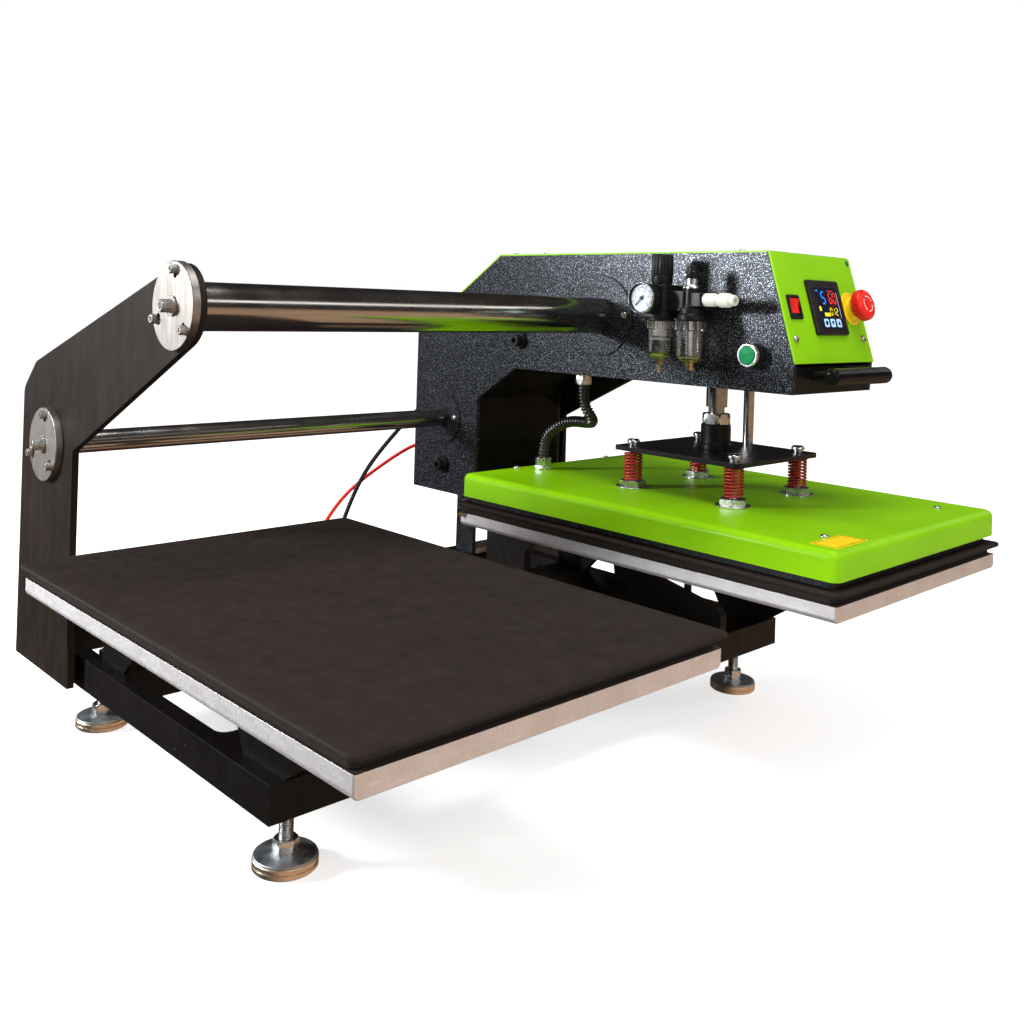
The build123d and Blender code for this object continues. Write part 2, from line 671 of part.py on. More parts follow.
def start_button(face, outward):
    ends = sorted((face + outward * (4 + BUTTON_TRAVEL + 0.5), face + outward * (BUTTON_OUT + 1.5)))
    button = bar_x(BUTTON_Y, BUTTON_Z, 11, *ends)
    rim = button.edges().filter_by(GeomType.CIRCLE).group_by(Axis.X)
    return chamfer(rim[0 if outward < 0 else -1], 1)


# Front handle

HANDLE_Y, HANDLE_Z = -338, 457
HANDLE_HALF = 70


def front_handle():
    grip = bar_x(HANDLE_Y, HANDLE_Z, 10.5, STATION_X - HANDLE_HALF, STATION_X + HANDLE_HALF)
    grip = fillet(grip.edges().filter_by(GeomType.CIRCLE), 6)
    for side in (-1, 1):
        grip += bar_y(STATION_X + side * 52, HANDLE_Z, 6, HANDLE_Y, HEAD_FRONT - 1.7)
    return grip


# Air cylinder, ram and spring plate

CYLINDER_SEAT = HEAD_BOTTOM + SHEET_METAL + 10
CYLINDER_BORE = 40


def air_cylinder():
    x, y, z = STATION_X, PLATEN_Y, CYLINDER_SEAT
    low_cap = rounded_box(100, 100, x, y, z, z + 12, 8) - bar_z(x, y, ROD_RADIUS + SHAFT_SEAT, z - 1, z + 13)
    barrel = bar_z(x, y, 47, z + 12, z + 128) - bar_z(x, y, CYLINDER_BORE, z + 12, z + 128)
    high_cap = rounded_box(100, 100, x, y, z + 128, z + 140, 8)
    return [low_cap + barrel + high_cap]


def piston_rod():
    x, y = STATION_X, PLATEN_Y
    rod = bar_z(x, y, ROD_RADIUS, ROD_SHOULDER, 508)
    rod += bar_z(x, y, CYLINDER_BORE - SHAFT_SEAT, 506, 521)
    return rod + bar_z(x, y, ROD_NECK_RADIUS, COUPLING_TOP - 15, ROD_SHOULDER)


def ram_coupling():
    """The coupling that screws on the rod, and the nut that locks it."""
    x, y = STATION_X, PLATEN_Y
    piece = bar_z(x, y, 20.5, SPRING_PLATE_TOP, COUPLING_TOP)
    piece = chamfer(piece.edges().filter_by(GeomType.CIRCLE).group_by(Axis.Z)[-1], 1)
    piece += bar_z(x, y, 22, SPRING_PLATE_TOP, SPRING_PLATE_TOP + 8)
    nut = hexagon_z(x, y, 36, COUPLING_TOP, ROD_NUT_TOP, 12)
    thread = bar_z(x, y, ROD_NECK_RADIUS, COUPLING_TOP - 15, ROD_NUT_TOP + 1)
    return [piece - thread, nut - thread]


def guide_rod():
    return bar_z(STATION_X + GUIDE_OFFSET, PLATEN_Y, GUIDE_RADIUS, SPRING_PLATE_TOP, GUIDE_TOP)


def spring_places():
    return [(STATION_X + sx * SPRING_X, PLATEN_Y + sy * SPRING_Y) for sx in (-1, 1) for sy in (-1, 1)]


def spring_plate():
    plate = rounded_box(SPRING_PLATE_X, SPRING_PLATE_Y, STATION_X, PLATEN_Y,
                        SPRING_PLATE_BOTTOM, SPRING_PLATE_TOP, 8)
    for x, y in spring_places():
        plate -= bar_z(x, y, BOLT_SLIDE, SPRING_PLATE_BOTTOM - 1, SPRING_PLATE_TOP + 1)
    return plate


# Upper platen: heated slab, cover, bolts, nuts, springs

def heat_platen():
    plate = rounded_box(PLATEN_WIDTH - 2 * HEAT_INSET, PLATEN_LENGTH - 2 * HEAT_INSET,
                        STATION_X, PLATEN_Y, HEAT_BOTTOM, HEAT_TOP, 6)
    for x, y in spring_places():
        plate -= bar_z(x, y, BOLT_SEAT, HEAT_TOP - 8, HEAT_TOP + 1)
    return plate


def platen_cover():
    """The green pressed cover with rounded edges, open underneath."""
    shell = rounded_box(PLATEN_WIDTH, PLATEN_LENGTH, STATION_X, PLATEN_Y, COVER_BOTTOM, COVER_TOP, 11)
    shell = fillet(shell.edges().group_by(Axis.Z)[-1], COVER_ROUND)
    cavity = rounded_box(PLATEN_WIDTH - 4, PLATEN_LENGTH - 4, STATION_X, PLATEN_Y,
                         COVER_BOTTOM - 1, COVER_TOP - SHEET_METAL, 9)
    cavity = fillet(cavity.edges().group_by(Axis.Z)[-1], COVER_ROUND - SHEET_METAL)
    shell -= cavity
    for x, y in spring_places():
        shell -= bar_z(x, y, BOLT_SEAT, COVER_TOP - 5, COVER_TOP + 1)
    return shell - bar_z(CONDUIT_X, CONDUIT_BOTTOM_Y, 6.05, COVER_TOP - 5, COVER_TOP + 1)


def spring_seat_nuts():
    """A washer and a thin nut under each spring."""
    pieces = []
    for i, (x, y) in enumerate(spring_places()):
        nut_bottom = COVER_TOP + WASHER_THICKNESS
        hole = bar_z(x, y, BOLT_SEAT, COVER_TOP - 1, SPRING_SEAT + 1)
        pieces.append(bar_z(x, y, 23, COVER_TOP, nut_bottom) - hole)
        pieces.append(hexagon_z(x, y, 32, nut_bottom, SPRING_SEAT, 17 * i) - hole)
    return pieces


def spring_bolts():
    """Pan head bolts whose collars hang the platen on the spring plate."""
    pieces = []
    for x, y in spring_places():
        head_bottom = SPRING_PLATE_TOP + BOLT_NECK
        bolt = bar_z(x, y, BOLT_RADIUS, HEAT_TOP - 8, head_bottom)
        bolt += bar_z(x, y, BOLT_COLLAR, SPRING_PLATE_TOP + 0.3, head_bottom)
        head = bar_z(x, y, 9, head_bottom, head_bottom + 5.5)
        head = fillet(head.edges().filter_by(GeomType.CIRCLE).group_by(Axis.Z)[-1], 3)
        pieces.append(bolt + head)
    return pieces


def die_springs():
    """Four helical springs, each one unbroken wire."""
    low = SPRING_SEAT + SPRING_WIRE / 2 + 0.3
    high = SPRING_PLATE_BOTTOM - SPRING_WIRE / 2 - 0.3

    def place(turn):
        angle = 2 * pi * turn
        return (SPRING_MEAN_RADIUS * cos(angle), SPRING_MEAN_RADIUS * sin(angle),
                low + (high - low) * turn / SPRING_TURNS)

    def heading(turn):
        return heading_of(place, turn)

    path = Wire(biarc_edges(place, heading, 0, SPRING_TURNS, 4 * SPRING_TURNS))
    spring = round_sweep(path, SPRING_WIRE / 2)
    report_winding("spring", spring, path, SPRING_WIRE / 2, 2 * pi * SPRING_MEAN_RADIUS)
    return [
        Pos(x, y, 0) * Rot(0, 0, 70 * i) * spring
        for i, (x, y) in enumerate(spring_places())
    ]


def heating_element():
    """A tubular heater that lies in four runs on the heated slab."""
    reach, spacing = 190, 100
    z = HEAT_TOP + 4
    edges = []
    for i in range(4):
        x = STATION_X + (i - 1.5) * spacing
        towards = 1 if i % 2 == 0 else -1
        near, far = PLATEN_Y - towards * reach, PLATEN_Y + towards * reach
        edges.append(Line((x, near, z), (x, far, z)))
        if i < 3:
            tip = (x + spacing / 2, far + towards * spacing / 2, z)
            edges.append(ThreePointArc((x, far, z), tip, (x + spacing, far, z)))
    return round_sweep(Wire(edges), 4)


# Conduit and its fittings

CONDUIT_ROUTE = [
    (CONDUIT_X, CONDUIT_TOP_Y, CONDUIT_TOP), (CONDUIT_X, CONDUIT_TOP_Y, 393),
    (CONDUIT_X + 4, 44, 375), (CONDUIT_X + 15, 46, 363), (CONDUIT_X + 19, 66, 361),
    (CONDUIT_X + 16, 92, 361), (CONDUIT_X + 8, 114, 351),
    (CONDUIT_X, CONDUIT_BOTTOM_Y, 332), (CONDUIT_X, CONDUIT_BOTTOM_Y, CONDUIT_BOTTOM),
]


def conduit():
    """A ribbed flexible conduit: rings of two heights joined by straight flanks, and a bore."""
    radii = soft_radii(CONDUIT_ROUTE)
    path = FilletPolyline(*CONDUIT_ROUTE, radius=radii)
    print("conduit length", round(path.length), "least radius", round(min(radii), 1))
    length = path.length
    straight = 2 * CONDUIT_RADIUS
    ribbed = length - 2 * straight
    places = [(0, CONDUIT_VALLEY)]
    for i in range(CONDUIT_RIBS):
        for share, radius in ((0.1, CONDUIT_VALLEY), (0.3, CONDUIT_RADIUS),
                              (0.7, CONDUIT_RADIUS), (0.9, CONDUIT_VALLEY)):
            places.append((straight + ribbed * (i + share) / CONDUIT_RIBS, radius))
    places.append((length, CONDUIT_VALLEY))
    rings = []
    for distance, radius in places:
        share = distance / length
        heading = path % share
        side = Vector(1, 0, 0) - heading * heading.X
        rings.append(Plane(origin=path @ share, x_dir=side, z_dir=heading) * Circle(radius))
    return loft(rings, ruled=True) - round_sweep(path, CONDUIT_BORE)


def conduit_fitting_bottom():
    x, y = CONDUIT_X, CONDUIT_BOTTOM_Y
    washer = bar_z(x, y, 13, COVER_TOP, COVER_TOP + 2)
    hexagon = hexagon_z(x, y, 22, COVER_TOP + 2, CONDUIT_BOTTOM)
    return washer + hexagon + bar_z(x, y, 6, COVER_TOP - 8, COVER_TOP)


# Air preparation unit on the left face of the arm

FRL_X = 164
FILTER_Y = -135
LUBRICATOR_Y = -183
FRL_BODY_BOTTOM, FRL_BODY_TOP = 520, 563
GAUGE_X0, GAUGE_X1 = 121, 139
GAUGE_Z = 545


def frl_body():
    """The regulator and lubricator bodies, their joining block and the bracket."""
    bodies = []
    for y in (FILTER_Y, LUBRICATOR_Y):
        body = rounded_box(42, 40, FRL_X, y, FRL_BODY_BOTTOM, FRL_BODY_TOP, 5)
        bodies.append(body)
    joiner = block(FRL_X - 14, FRL_X + 14, LUBRICATOR_Y + 20, FILTER_Y - 20, 530, 556)
    bracket = block(FRL_X + 21, HEAD_LEFT, LUBRICATOR_Y - 8, FILTER_Y + 8, 532, 536)
    bracket += block(HEAD_LEFT - 3, HEAD_LEFT, LUBRICATOR_Y - 8, FILTER_Y + 8, 512, 532)
    cap = bar_z(FRL_X, LUBRICATOR_Y, 10, FRL_BODY_TOP, 578)
    cap += bar_z(FRL_X, LUBRICATOR_Y, 7, 578, 587)
    bodies[1] += cap
    return bodies + [joiner, bracket]


def bowl(y, radius, top, bottom, tip):
    """A clear bowl with a rounded lower end, open inside, and its drain."""
    shell = bar_z(FRL_X, y, radius, bottom, top)
    shell = fillet(shell.edges().filter_by(GeomType.CIRCLE).group_by(Axis.Z)[0], radius * 0.45)
    shell += bar_z(FRL_X, y, 5, tip, bottom + 3)
    cavity = bar_z(FRL_X, y, radius - 2.5, bottom + 6, top + 1)
    return shell - cavity


def frl_bowls():
    return [
        bowl(FILTER_Y, 16, FRL_BODY_BOTTOM, 468, 450),
        bowl(LUBRICATOR_Y, 18, FRL_BODY_BOTTOM, 466, 457),
    ]


def regulator_knob():
    knob = bar_z(FRL_X, FILTER_Y, 14, FRL_BODY_TOP + 0.3, 602)
    return fillet(knob.edges().filter_by(GeomType.CIRCLE).group_by(Axis.Z)[-1], 3)


def pressure_gauge():
    case = bar_x(FILTER_Y, GAUGE_Z, 20, GAUGE_X0, GAUGE_X1)
    case -= bar_x(FILTER_Y, GAUGE_Z, 18, GAUGE_X0 - 1, GAUGE_X0 + 4)
    return case + bar_x(FILTER_Y, GAUGE_Z, 6, GAUGE_X1, FRL_X - 21)


def gauge_needle():
    """The pointer: a hub and a blade that leans to the left of upright."""
    hub = bar_x(FILTER_Y, GAUGE_Z, 2.2, GAUGE_X0 + 1.4, GAUGE_X0 + 3.7)
    blade = block(GAUGE_X0 + 2, GAUGE_X0 + 2.6, FILTER_Y - 0.6, FILTER_Y + 0.6, GAUGE_Z - 5, GAUGE_Z + 13)
    turn = Pos(0, FILTER_Y, GAUGE_Z) * Rot(-135, 0, 0) * Pos(0, -FILTER_Y, -GAUGE_Z)
    return hub + turn * blade


def carriage_fittings():
    """The conduit's hexagon, the outlet fitting, and the rear fittings of hose and cable."""
    hexagon = hexagon_z(CONDUIT_X, CONDUIT_TOP_Y, 22, CONDUIT_TOP, HEAD_BOTTOM)
    hexagon += bar_z(CONDUIT_X, CONDUIT_TOP_Y, 6, HEAD_BOTTOM, HEAD_BOTTOM + 10)
    outlet = bar_y(FRL_X, GAUGE_Z, 9, -232, LUBRICATOR_Y - 20) + bar_y(FRL_X, GAUGE_Z, 7, -249, -232)
    hose_end = bar_y(GLAND_X, HOSE_Z, 8, HEAD_REAR, GLAND_END)
    gland = bar_y(GLAND_X, CABLE_Z, 10, HEAD_REAR, GLAND_END - 6)
    gland += bar_y(GLAND_X, CABLE_Z, 6.5, GLAND_END - 6, GLAND_END)
    return [hexagon, outlet, hose_end, gland]


# Inside the arm

def solenoid_valve():
    """The valve block with its two coils, on the inner face of the left plate."""
    body = block(INNER_LEFT, INNER_LEFT + 28, 80, 150, 545, 570)
    coils = block(INNER_LEFT, INNER_LEFT + 24, 84, 108, 570, 598)
    coils += block(INNER_LEFT, INNER_LEFT + 24, 122, 146, 570, 598)
    return body + coils


# Supply lines: each drops behind the machine to a coil on the floor

CABLE_ROUTE = [
    (GLAND_X, GLAND_END, CABLE_Z), (GLAND_X, 448, CABLE_Z), (254, 464, 346), (234, 474, 325),
    (206, 477, 298), (177, 478, 270), (150, 478, 240), (127, 478, 202), (108, 479, 158),
    (94, 481, 112), (81, 485, 68), (63, 491, 32), (36, 497, 11), (4, 500, CABLE_RADIUS),
    (CABLE_COIL["x"] + 2 * CABLE_RADIUS, CABLE_COIL["y"], CABLE_RADIUS),
]
HOSE_ROUTE = [
    (GLAND_X, GLAND_END, HOSE_Z), (GLAND_X, 450, HOSE_Z), (252, 472, 280), (226, 486, 264),
    (192, 492, 244), (156, 494, 224), (120, 495, 199), (90, 496, 166), (66, 497, 126),
    (44, 500, 84), (16, 505, 46), (-24, 512, 19), (-72, 519, 6), (-120, 523, HOSE_RADIUS),
    (HOSE_COIL["x"] + 2 * HOSE_RADIUS, HOSE_COIL["y"], HOSE_RADIUS),
]


def floor_coil(name, coil, radius):
    """A flat coil in two layers: the turns spiral in, climb half a turn, and spiral out.

    It starts behind, heading to the left, and its tail leaves in front, heading to the right.
    """
    pitch = 2 * radius + COIL_GAP
    half_turns = coil["turns"] / 2
    outer = coil["middle"] + pitch * half_turns / 2
    centre_y = coil["y"] - outer

    def place(turn):
        past = turn - half_turns
        share = min(max(past + 0.5, 0), 1)
        reach = outer - pitch * (half_turns - hypot(past, 0.2))
        angle = 2 * pi * turn
        return (coil["x"] - reach * sin(angle), centre_y + reach * cos(angle),
                radius + pitch * share * share * (3 - 2 * share))

    def heading(turn):
        if turn in (0, coil["turns"]):
            return Vector(-1 if turn == 0 else 1, 0, 0)
        return heading_of(place, turn)

    first, last = Vector(*place(0)), Vector(*place(coil["turns"]))
    lead = Line(first + Vector(2 * radius, 0, 0), first)
    tail = Line(last, last + Vector(coil["tail"], 0, 0))
    edges = biarc_edges(place, heading, 0, coil["turns"], int(4 * coil["turns"]))
    path = Wire([lead, *edges, tail])
    tube = round_sweep(path, radius)
    report_winding(name, tube, path, radius, 2 * pi * coil["middle"])
    return tube, path @ 1


def power_plug(end):
    """A moulded plug with two round pins, lying on the floor at the end of its cable."""
    x, y = end.X, end.Y
    body = block(x + 14, x + 46, y - 13, y + 13, 0, 2 * end.Z)
    body = fillet(body.edges().filter_by(Axis.X), 6) + bar_x(y, end.Z, 6, x, x + 14)
    for side in (-7, 7):
        body += bar_x(y + side, end.Z, 2.4, x + 46, x + 65)
    return body


def air_connector(end):
    """A quick-connect nipple that lies on the floor at the end of its hose."""
    x, y = end.X, end.Y
    piece = Pos(x, y, end.Z) * Rot(0, 90, 0) * hexagon_z(0, 0, 2 * end.Z, 0, 14)
    for start, finish, radius in ((14, 24, 5.5), (24, 30, 4), (30, 38, 5.5)):
        piece += bar_x(y, end.Z, radius, x + start, x + finish)
    return piece


def main():
    os.makedirs("parts", exist_ok=True)
    cable_coil, cable_end = floor_coil("power_cable_coil", CABLE_COIL, CABLE_RADIUS)
    hose_coil, hose_end = floor_coil("air_hose_coil", HOSE_COIL, HOSE_RADIUS)
    nodes = {
        "base_frame": base_frame(),
        "right_side_plate": side_plate(),
        "left_side_plate": mirror(side_plate(), about=Plane.YZ),
        "upper_rail": shaft(UPPER_SHAFT_Y, UPPER_SHAFT_Z, UPPER_SHAFT_RADIUS),
        "lower_rail": shaft(LOWER_SHAFT_Y, LOWER_SHAFT_Z, LOWER_SHAFT_RADIUS),
        "rail_end_discs": rail_end_discs(),
        "rail_end_screws": rail_end_screws(),
        "left_lower_platen": lower_platen(-STATION_X),
        "right_lower_platen": lower_platen(STATION_X),
        "foam_pads": [foam_pad(-STATION_X), foam_pad(STATION_X)],
        "pad_top_sheets": [top_sheet(-STATION_X), top_sheet(STATION_X)],
        "platen_supports": platen_supports(),
        "carriage_plate_left": carriage_plate(HEAD_LEFT),
        "carriage_plate_right": carriage_plate(INNER_RIGHT),
        "carriage_spacers": carriage_spacers(),
        "head_cover": head_cover(),
        "rear_panel": rear_panel(),
        "head_underside": head_underside(),
        "upper_bearings": bearings(UPPER_SHAFT_Y, UPPER_SHAFT_Z, 57, UPPER_SLEEVE,
                                   UPPER_SHAFT_RADIUS + SHAFT_SEAT),
        "lower_bearings": bearings(LOWER_SHAFT_Y, LOWER_SHAFT_Z, 42, LOWER_SLEEVE,
                                   LOWER_SHAFT_RADIUS + SHAFT_SEAT),
        "carriage_stop_bolts": carriage_stop_bolts(),
        "control_panel": control_panel(),
        "switch_bezels": [rocker_bezel(), estop_base()] + start_button_bezels(),
        "power_rocker": power_rocker(),
        "temperature_controller": temperature_controller(),
        "estop_stem": estop_stem(),
        "estop_mushroom": estop_mushroom(),
        "start_button_left": start_button(HEAD_LEFT, -1),
        "start_button_right": start_button(HEAD_RIGHT, 1),
        "front_handle": front_handle(),
        "air_cylinder": air_cylinder(),
        "solenoid_valve": solenoid_valve(),
        "piston_rod": piston_rod(),
        "ram_coupling": ram_coupling(),
        "guide_rod": guide_rod(),
        "spring_plate": spring_plate(),
        "heat_platen": heat_platen(),
        "heating_element": heating_element(),
        "platen_cover": platen_cover(),
        "spring_seat_nuts": spring_seat_nuts(),
        "spring_bolts": spring_bolts(),
        "die_springs": die_springs(),
        "conduit": conduit(),
        "conduit_fitting_bottom": conduit_fitting_bottom(),
        "frl_body": frl_body(),
        "frl_bowls": frl_bowls(),
        "regulator_knob": regulator_knob(),
        "pressure_gauge": pressure_gauge(),
        "gauge_needle": gauge_needle(),
        "carriage_fittings": carriage_fittings(),
        "power_cable": cord_tube("power_cable", CABLE_ROUTE, CABLE_RADIUS),
        "power_cable_coil": cable_coil,
        "power_plug": power_plug(cable_end),
        "air_hose": cord_tube("air_hose", HOSE_ROUTE, HOSE_RADIUS),
        "air_hose_coil": hose_coil,
        "air_connector": air_connector(hose_end),
    }
    for end, y in (("front", FOOT_FRONT_Y), ("back", FOOT_BACK_Y)):
        for side, x in (("left", -FOOT_X), ("right", FOOT_X)):
            nodes[f"foot_{end}_{side}"] = levelling_foot(x, y)
    for name, shape in nodes.items():
        solids = []
        for piece in shape if isinstance(shape, list) else [shape]:
            solids += piece.solids()
        export_step(Compound(children=solids), f"parts/{name}.step")
    print(len(nodes), "nodes")


main()
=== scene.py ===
import random
from math import cos, hypot, pi, radians, sin

import bmesh
import bpy
from mathutils import Matrix, Vector


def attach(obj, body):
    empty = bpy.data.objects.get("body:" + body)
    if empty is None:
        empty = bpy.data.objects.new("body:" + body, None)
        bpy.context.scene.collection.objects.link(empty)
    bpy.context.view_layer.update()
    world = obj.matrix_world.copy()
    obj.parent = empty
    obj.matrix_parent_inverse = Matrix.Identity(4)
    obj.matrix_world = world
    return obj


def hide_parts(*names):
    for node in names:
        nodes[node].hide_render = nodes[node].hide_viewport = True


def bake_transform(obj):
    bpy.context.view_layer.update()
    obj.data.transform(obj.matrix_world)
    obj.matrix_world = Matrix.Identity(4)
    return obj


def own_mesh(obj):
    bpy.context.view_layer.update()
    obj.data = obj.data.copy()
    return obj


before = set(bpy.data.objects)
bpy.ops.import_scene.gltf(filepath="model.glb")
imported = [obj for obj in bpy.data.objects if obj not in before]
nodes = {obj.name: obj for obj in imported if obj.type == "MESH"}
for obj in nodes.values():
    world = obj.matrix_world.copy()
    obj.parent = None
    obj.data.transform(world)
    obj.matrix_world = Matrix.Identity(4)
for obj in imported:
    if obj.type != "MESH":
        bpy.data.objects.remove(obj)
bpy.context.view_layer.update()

# Sizes are in millimetres, apart from the routes of the two cords and the sizes of textures.
MM = 0.001
STATION_X = 301
PLATEN_Y = -128
PAD_WIDTH, PAD_LENGTH = 397, 588
TOP_SHEET_WIDTH, TOP_SHEET_LENGTH = 412, 612
SLAB_TOP, FOAM_TOP, SHEET_TOP = 228, 238, 243
COVER_TOP = 285
SPRING_OFFSETS = (75, 83)
WASHER_TOP = 286.5
SPRING_BOTTOM, SPRING_TOP = 294.5, 336
SPRING_WIRE, SPRING_RADIUS, SPRING_TURNS = 3, 11.5, 9
SPRING_STEPS_A_TURN = 24
SPRING_PLATE_TOP = 342
COUPLING_HEIGHT = 35
HEAD_LEFT, HEAD_RIGHT = 206, 396
HEAD_SIDES = ((-1, HEAD_LEFT), (1, HEAD_RIGHT))
HEAD_TOP = 608
HEAD_BACK = 416
UPPER_SHAFT = (5, 520)
LOWER_SHAFT = (342, 343)
FLANGE_THICKNESS = 3
DISC_FACE = 428
DISC_SCREW_CIRCLE = 37
MIDDLE_WASHER = 2
STOP_COLLAR = 5
PANEL_BOTTOM = Vector((STATION_X, -305, 471))
PANEL_TILT = radians(17)
PANEL_V = 71
PANEL_FACE = 2.3
ROCKER_U, CONTROLLER_U, ESTOP_U = -69, 5, 66
CONTROLLER_FACE = PANEL_FACE + 4
WINDOW_THICKNESS = 0.35
STOP_HEAD_TOP = PANEL_FACE + 26.95
FRL_X = 164
FILTER_Y, LUBRICATOR_Y = -135, -183
GAUGE_X, GAUGE_Z = 139, 545
DIAL_HEIGHT = 14.2
DIAL_ZERO, DIAL_STEP = 225, 27
BUTTON_Y, BUTTON_Z = -250, 479
CABLE_EXIT = (262, 416, 352)
GLAND_HEIGHT = 8
HOSE_EXIT = (262, 416, 284)
CONDUIT_TOP = (228, 54, 419)
CONDUIT_END = (228, 132, 303)
FOOT_CAP_TOP = 14
FEET = {"front_left": (-361, -127), "front_right": (361, -127),
        "back_left": (-361, 298), "back_right": (361, 298)}
HERE = Matrix.Identity(4)


# Camera

def add_camera():
    """A shift-lens view from the front left, where the photograph was taken."""
    yaw, pitch, roll = 0.764, 0.003, 0.0321
    forward = Vector((sin(yaw) * cos(pitch), cos(yaw) * cos(pitch), sin(pitch)))
    right = Vector((cos(yaw), -sin(yaw), 0))
    up = right.cross(forward)
    axis_x = cos(roll) * right + sin(roll) * up
    axis_y = cos(roll) * up - sin(roll) * right
    data = bpy.data.cameras.new("camera")
    data.sensor_width = 36
    data.lens = 36.82
    data.shift_x = -0.0079
    data.shift_y = -0.2072
    camera = bpy.data.objects.new("camera", data)
    turn = Matrix((axis_x, axis_y, -forward)).transposed().to_4x4()
    camera.matrix_world = Matrix.Translation(Vector((-895.4, -979.0, 533.9)) * MM) @ turn
    bpy.context.scene.collection.objects.link(camera)
    bpy.context.scene.camera = camera


# Material building

class Nodes:
    """Short calls that add and join the nodes of a tree."""

    def __init__(self, tree):
        self.tree = tree

    def add(self, kind, inputs=(), **settings):
        node = self.tree.nodes.new(kind)
        for name, value in settings.items():
            setattr(node, name, value)
        for name, value in dict(inputs).items():
            self.put(node.inputs[name], value)
        return node

    def put(self, socket, value):
        if isinstance(value, bpy.types.NodeSocket):
            self.tree.links.new(value, socket)
        else:
            socket.default_value = value

    def span(self, value, low=0.3, high=0.7, to_low=0.0, to_high=1.0):
        """A value's range from low to high, stretched to another range and cut off at its ends."""
        inputs = {"Value": value, "From Min": low, "From Max": high, "To Min": to_low, "To Max": to_high}
        return self.add("ShaderNodeMapRange", inputs).outputs["Result"]

    def both(self, a, b, operation="MULTIPLY"):
        return self.add("ShaderNodeMath", {0: a, 1: b}, operation=operation).outputs[0]

    def mix(self, factor, a, b):
        node = self.add("ShaderNodeMix", data_type="RGBA")
        for socket, value in zip((node.inputs[0], node.inputs[6], node.inputs[7]), (factor, a, b)):
            self.put(socket, (*value, 1) if isinstance(value, tuple) else value)
        return node.outputs[2]


class Look(Nodes):
    """A material under construction."""

    def __init__(self, name, roughness=0.5, metallic=0.0, **inputs):
        self.material = bpy.data.materials.new(name)
        self.material.use_nodes = True
        super().__init__(self.material.node_tree)
        self.shader = self.tree.nodes["Principled BSDF"]
        self.place = self.add("ShaderNodeTexCoord").outputs["Object"]
        self.set(Roughness=roughness, Metallic=metallic, **inputs)

    def set(self, **inputs):
        for name, value in inputs.items():
            self.put(self.shader.inputs[name.replace("_", " ")], value)
        return self

    def noise(self, scale, detail, stretch=(1, 1, 1)):
        place = self.add("ShaderNodeMapping", {"Vector": self.place, "Scale": stretch}).outputs["Vector"]
        return self.add("ShaderNodeTexNoise", {"Vector": place, "Scale": scale, "Detail": detail}).outputs[0]

    def spots(self, scale, detail, low=0.3, high=0.7, stretch=(1, 1, 1)):
        """Noise with more contrast, from 0 to 1."""
        return self.span(self.noise(scale, detail, stretch), low, high)

    def cells(self, scale):
        return self.add("ShaderNodeTexVoronoi", {"Vector": self.place, "Scale": scale}).outputs["Distance"]

    def edges(self, radius):
        """1 along the piece's edges and 0 on its faces."""
        bevel = self.add("ShaderNodeBevel", {"Radius": radius * MM}, samples=6).outputs["Normal"]
        normal = self.add("ShaderNodeNewGeometry").outputs["Normal"]
        dot = self.add("ShaderNodeVectorMath", {0: bevel, 1: normal}, operation="DOT_PRODUCT")
        return self.span(dot.outputs["Value"], 0.995, 0.88)

    def base(self, factor, a, b):
        """Makes the base colour a mix of two."""
        self.colour = self.mix(factor, a, b)
        return self.set(Base_Color=self.colour)

    def layer(self, factor, colour, strength=1.0):
        """Lays a colour over the base colour."""
        if strength < 1:
            factor = self.both(factor, strength)
        return self.base(factor, self.colour, colour)

    def rough(self, value, low, high):
        """Varies the roughness from low to high."""
        return self.set(Roughness=self.span(value, to_low=low, to_high=high))

    def finish(self, height, depth, edge_radius=0.0):
        """The material, with bumps of a depth in millimetres over edges rounded to a radius."""
        inputs = {"Height": height, "Distance": depth * MM, "Strength": 1.0}
        if edge_radius:
            bevel = self.add("ShaderNodeBevel", {"Radius": edge_radius * MM}, samples=4)
            inputs["Normal"] = bevel.outputs["Normal"]
        self.set(Normal=self.add("ShaderNodeBump", inputs).outputs["Normal"])
        return self.material


# Materials of the metal pieces

def powder_coat():
    """Satin black-brown powder coat with light chips, and a painted highlight along its edges, broken up by
    noise.
    """
    look = Look("powder_coat", Specular_IOR_Level=0.15)
    look.base(look.spots(9, 4, 0.35), (0.0040, 0.0030, 0.0025), (0.0085, 0.0068, 0.0058))
    # Painted highlight: a lighter brown along the edges, where light catches them, broken up by noise.
    look.layer(look.both(look.edges(0.9), look.spots(120, 4)), (0.12, 0.105, 0.09), 0.18)
    chips = look.both(look.span(look.cells(90), 0.05, 0.03), look.spots(7, 2, 0.6, 0.66))
    look.layer(chips, (0.35, 0.32, 0.30))
    look.rough(look.noise(60, 4), 0.36, 0.52)
    return look.finish(look.noise(700, 2), 0.04, 0.8)


def side_plate_paint():
    """The side plates' dark brown-grey coat, with faint drawn streaks and a painted highlight along its
    edges.
    """
    look = Look("side_plate_paint", Specular_IOR_Level=0.12)
    look.base(look.spots(5, 5), (0.0115, 0.0074, 0.0056), (0.0185, 0.0127, 0.0098))
    look.layer(look.spots(90, 3, 0.45, 0.75, (1, 1, 0.12)), (0.036, 0.027, 0.022), 0.3)
    # Painted highlight: a lighter brown along the edges, where light catches them.
    look.layer(look.edges(1.0), (0.11, 0.09, 0.08), 0.3)
    look.rough(look.noise(40, 4), 0.36, 0.52)
    return look.finish(look.noise(600, 2), 0.04, 0.8)


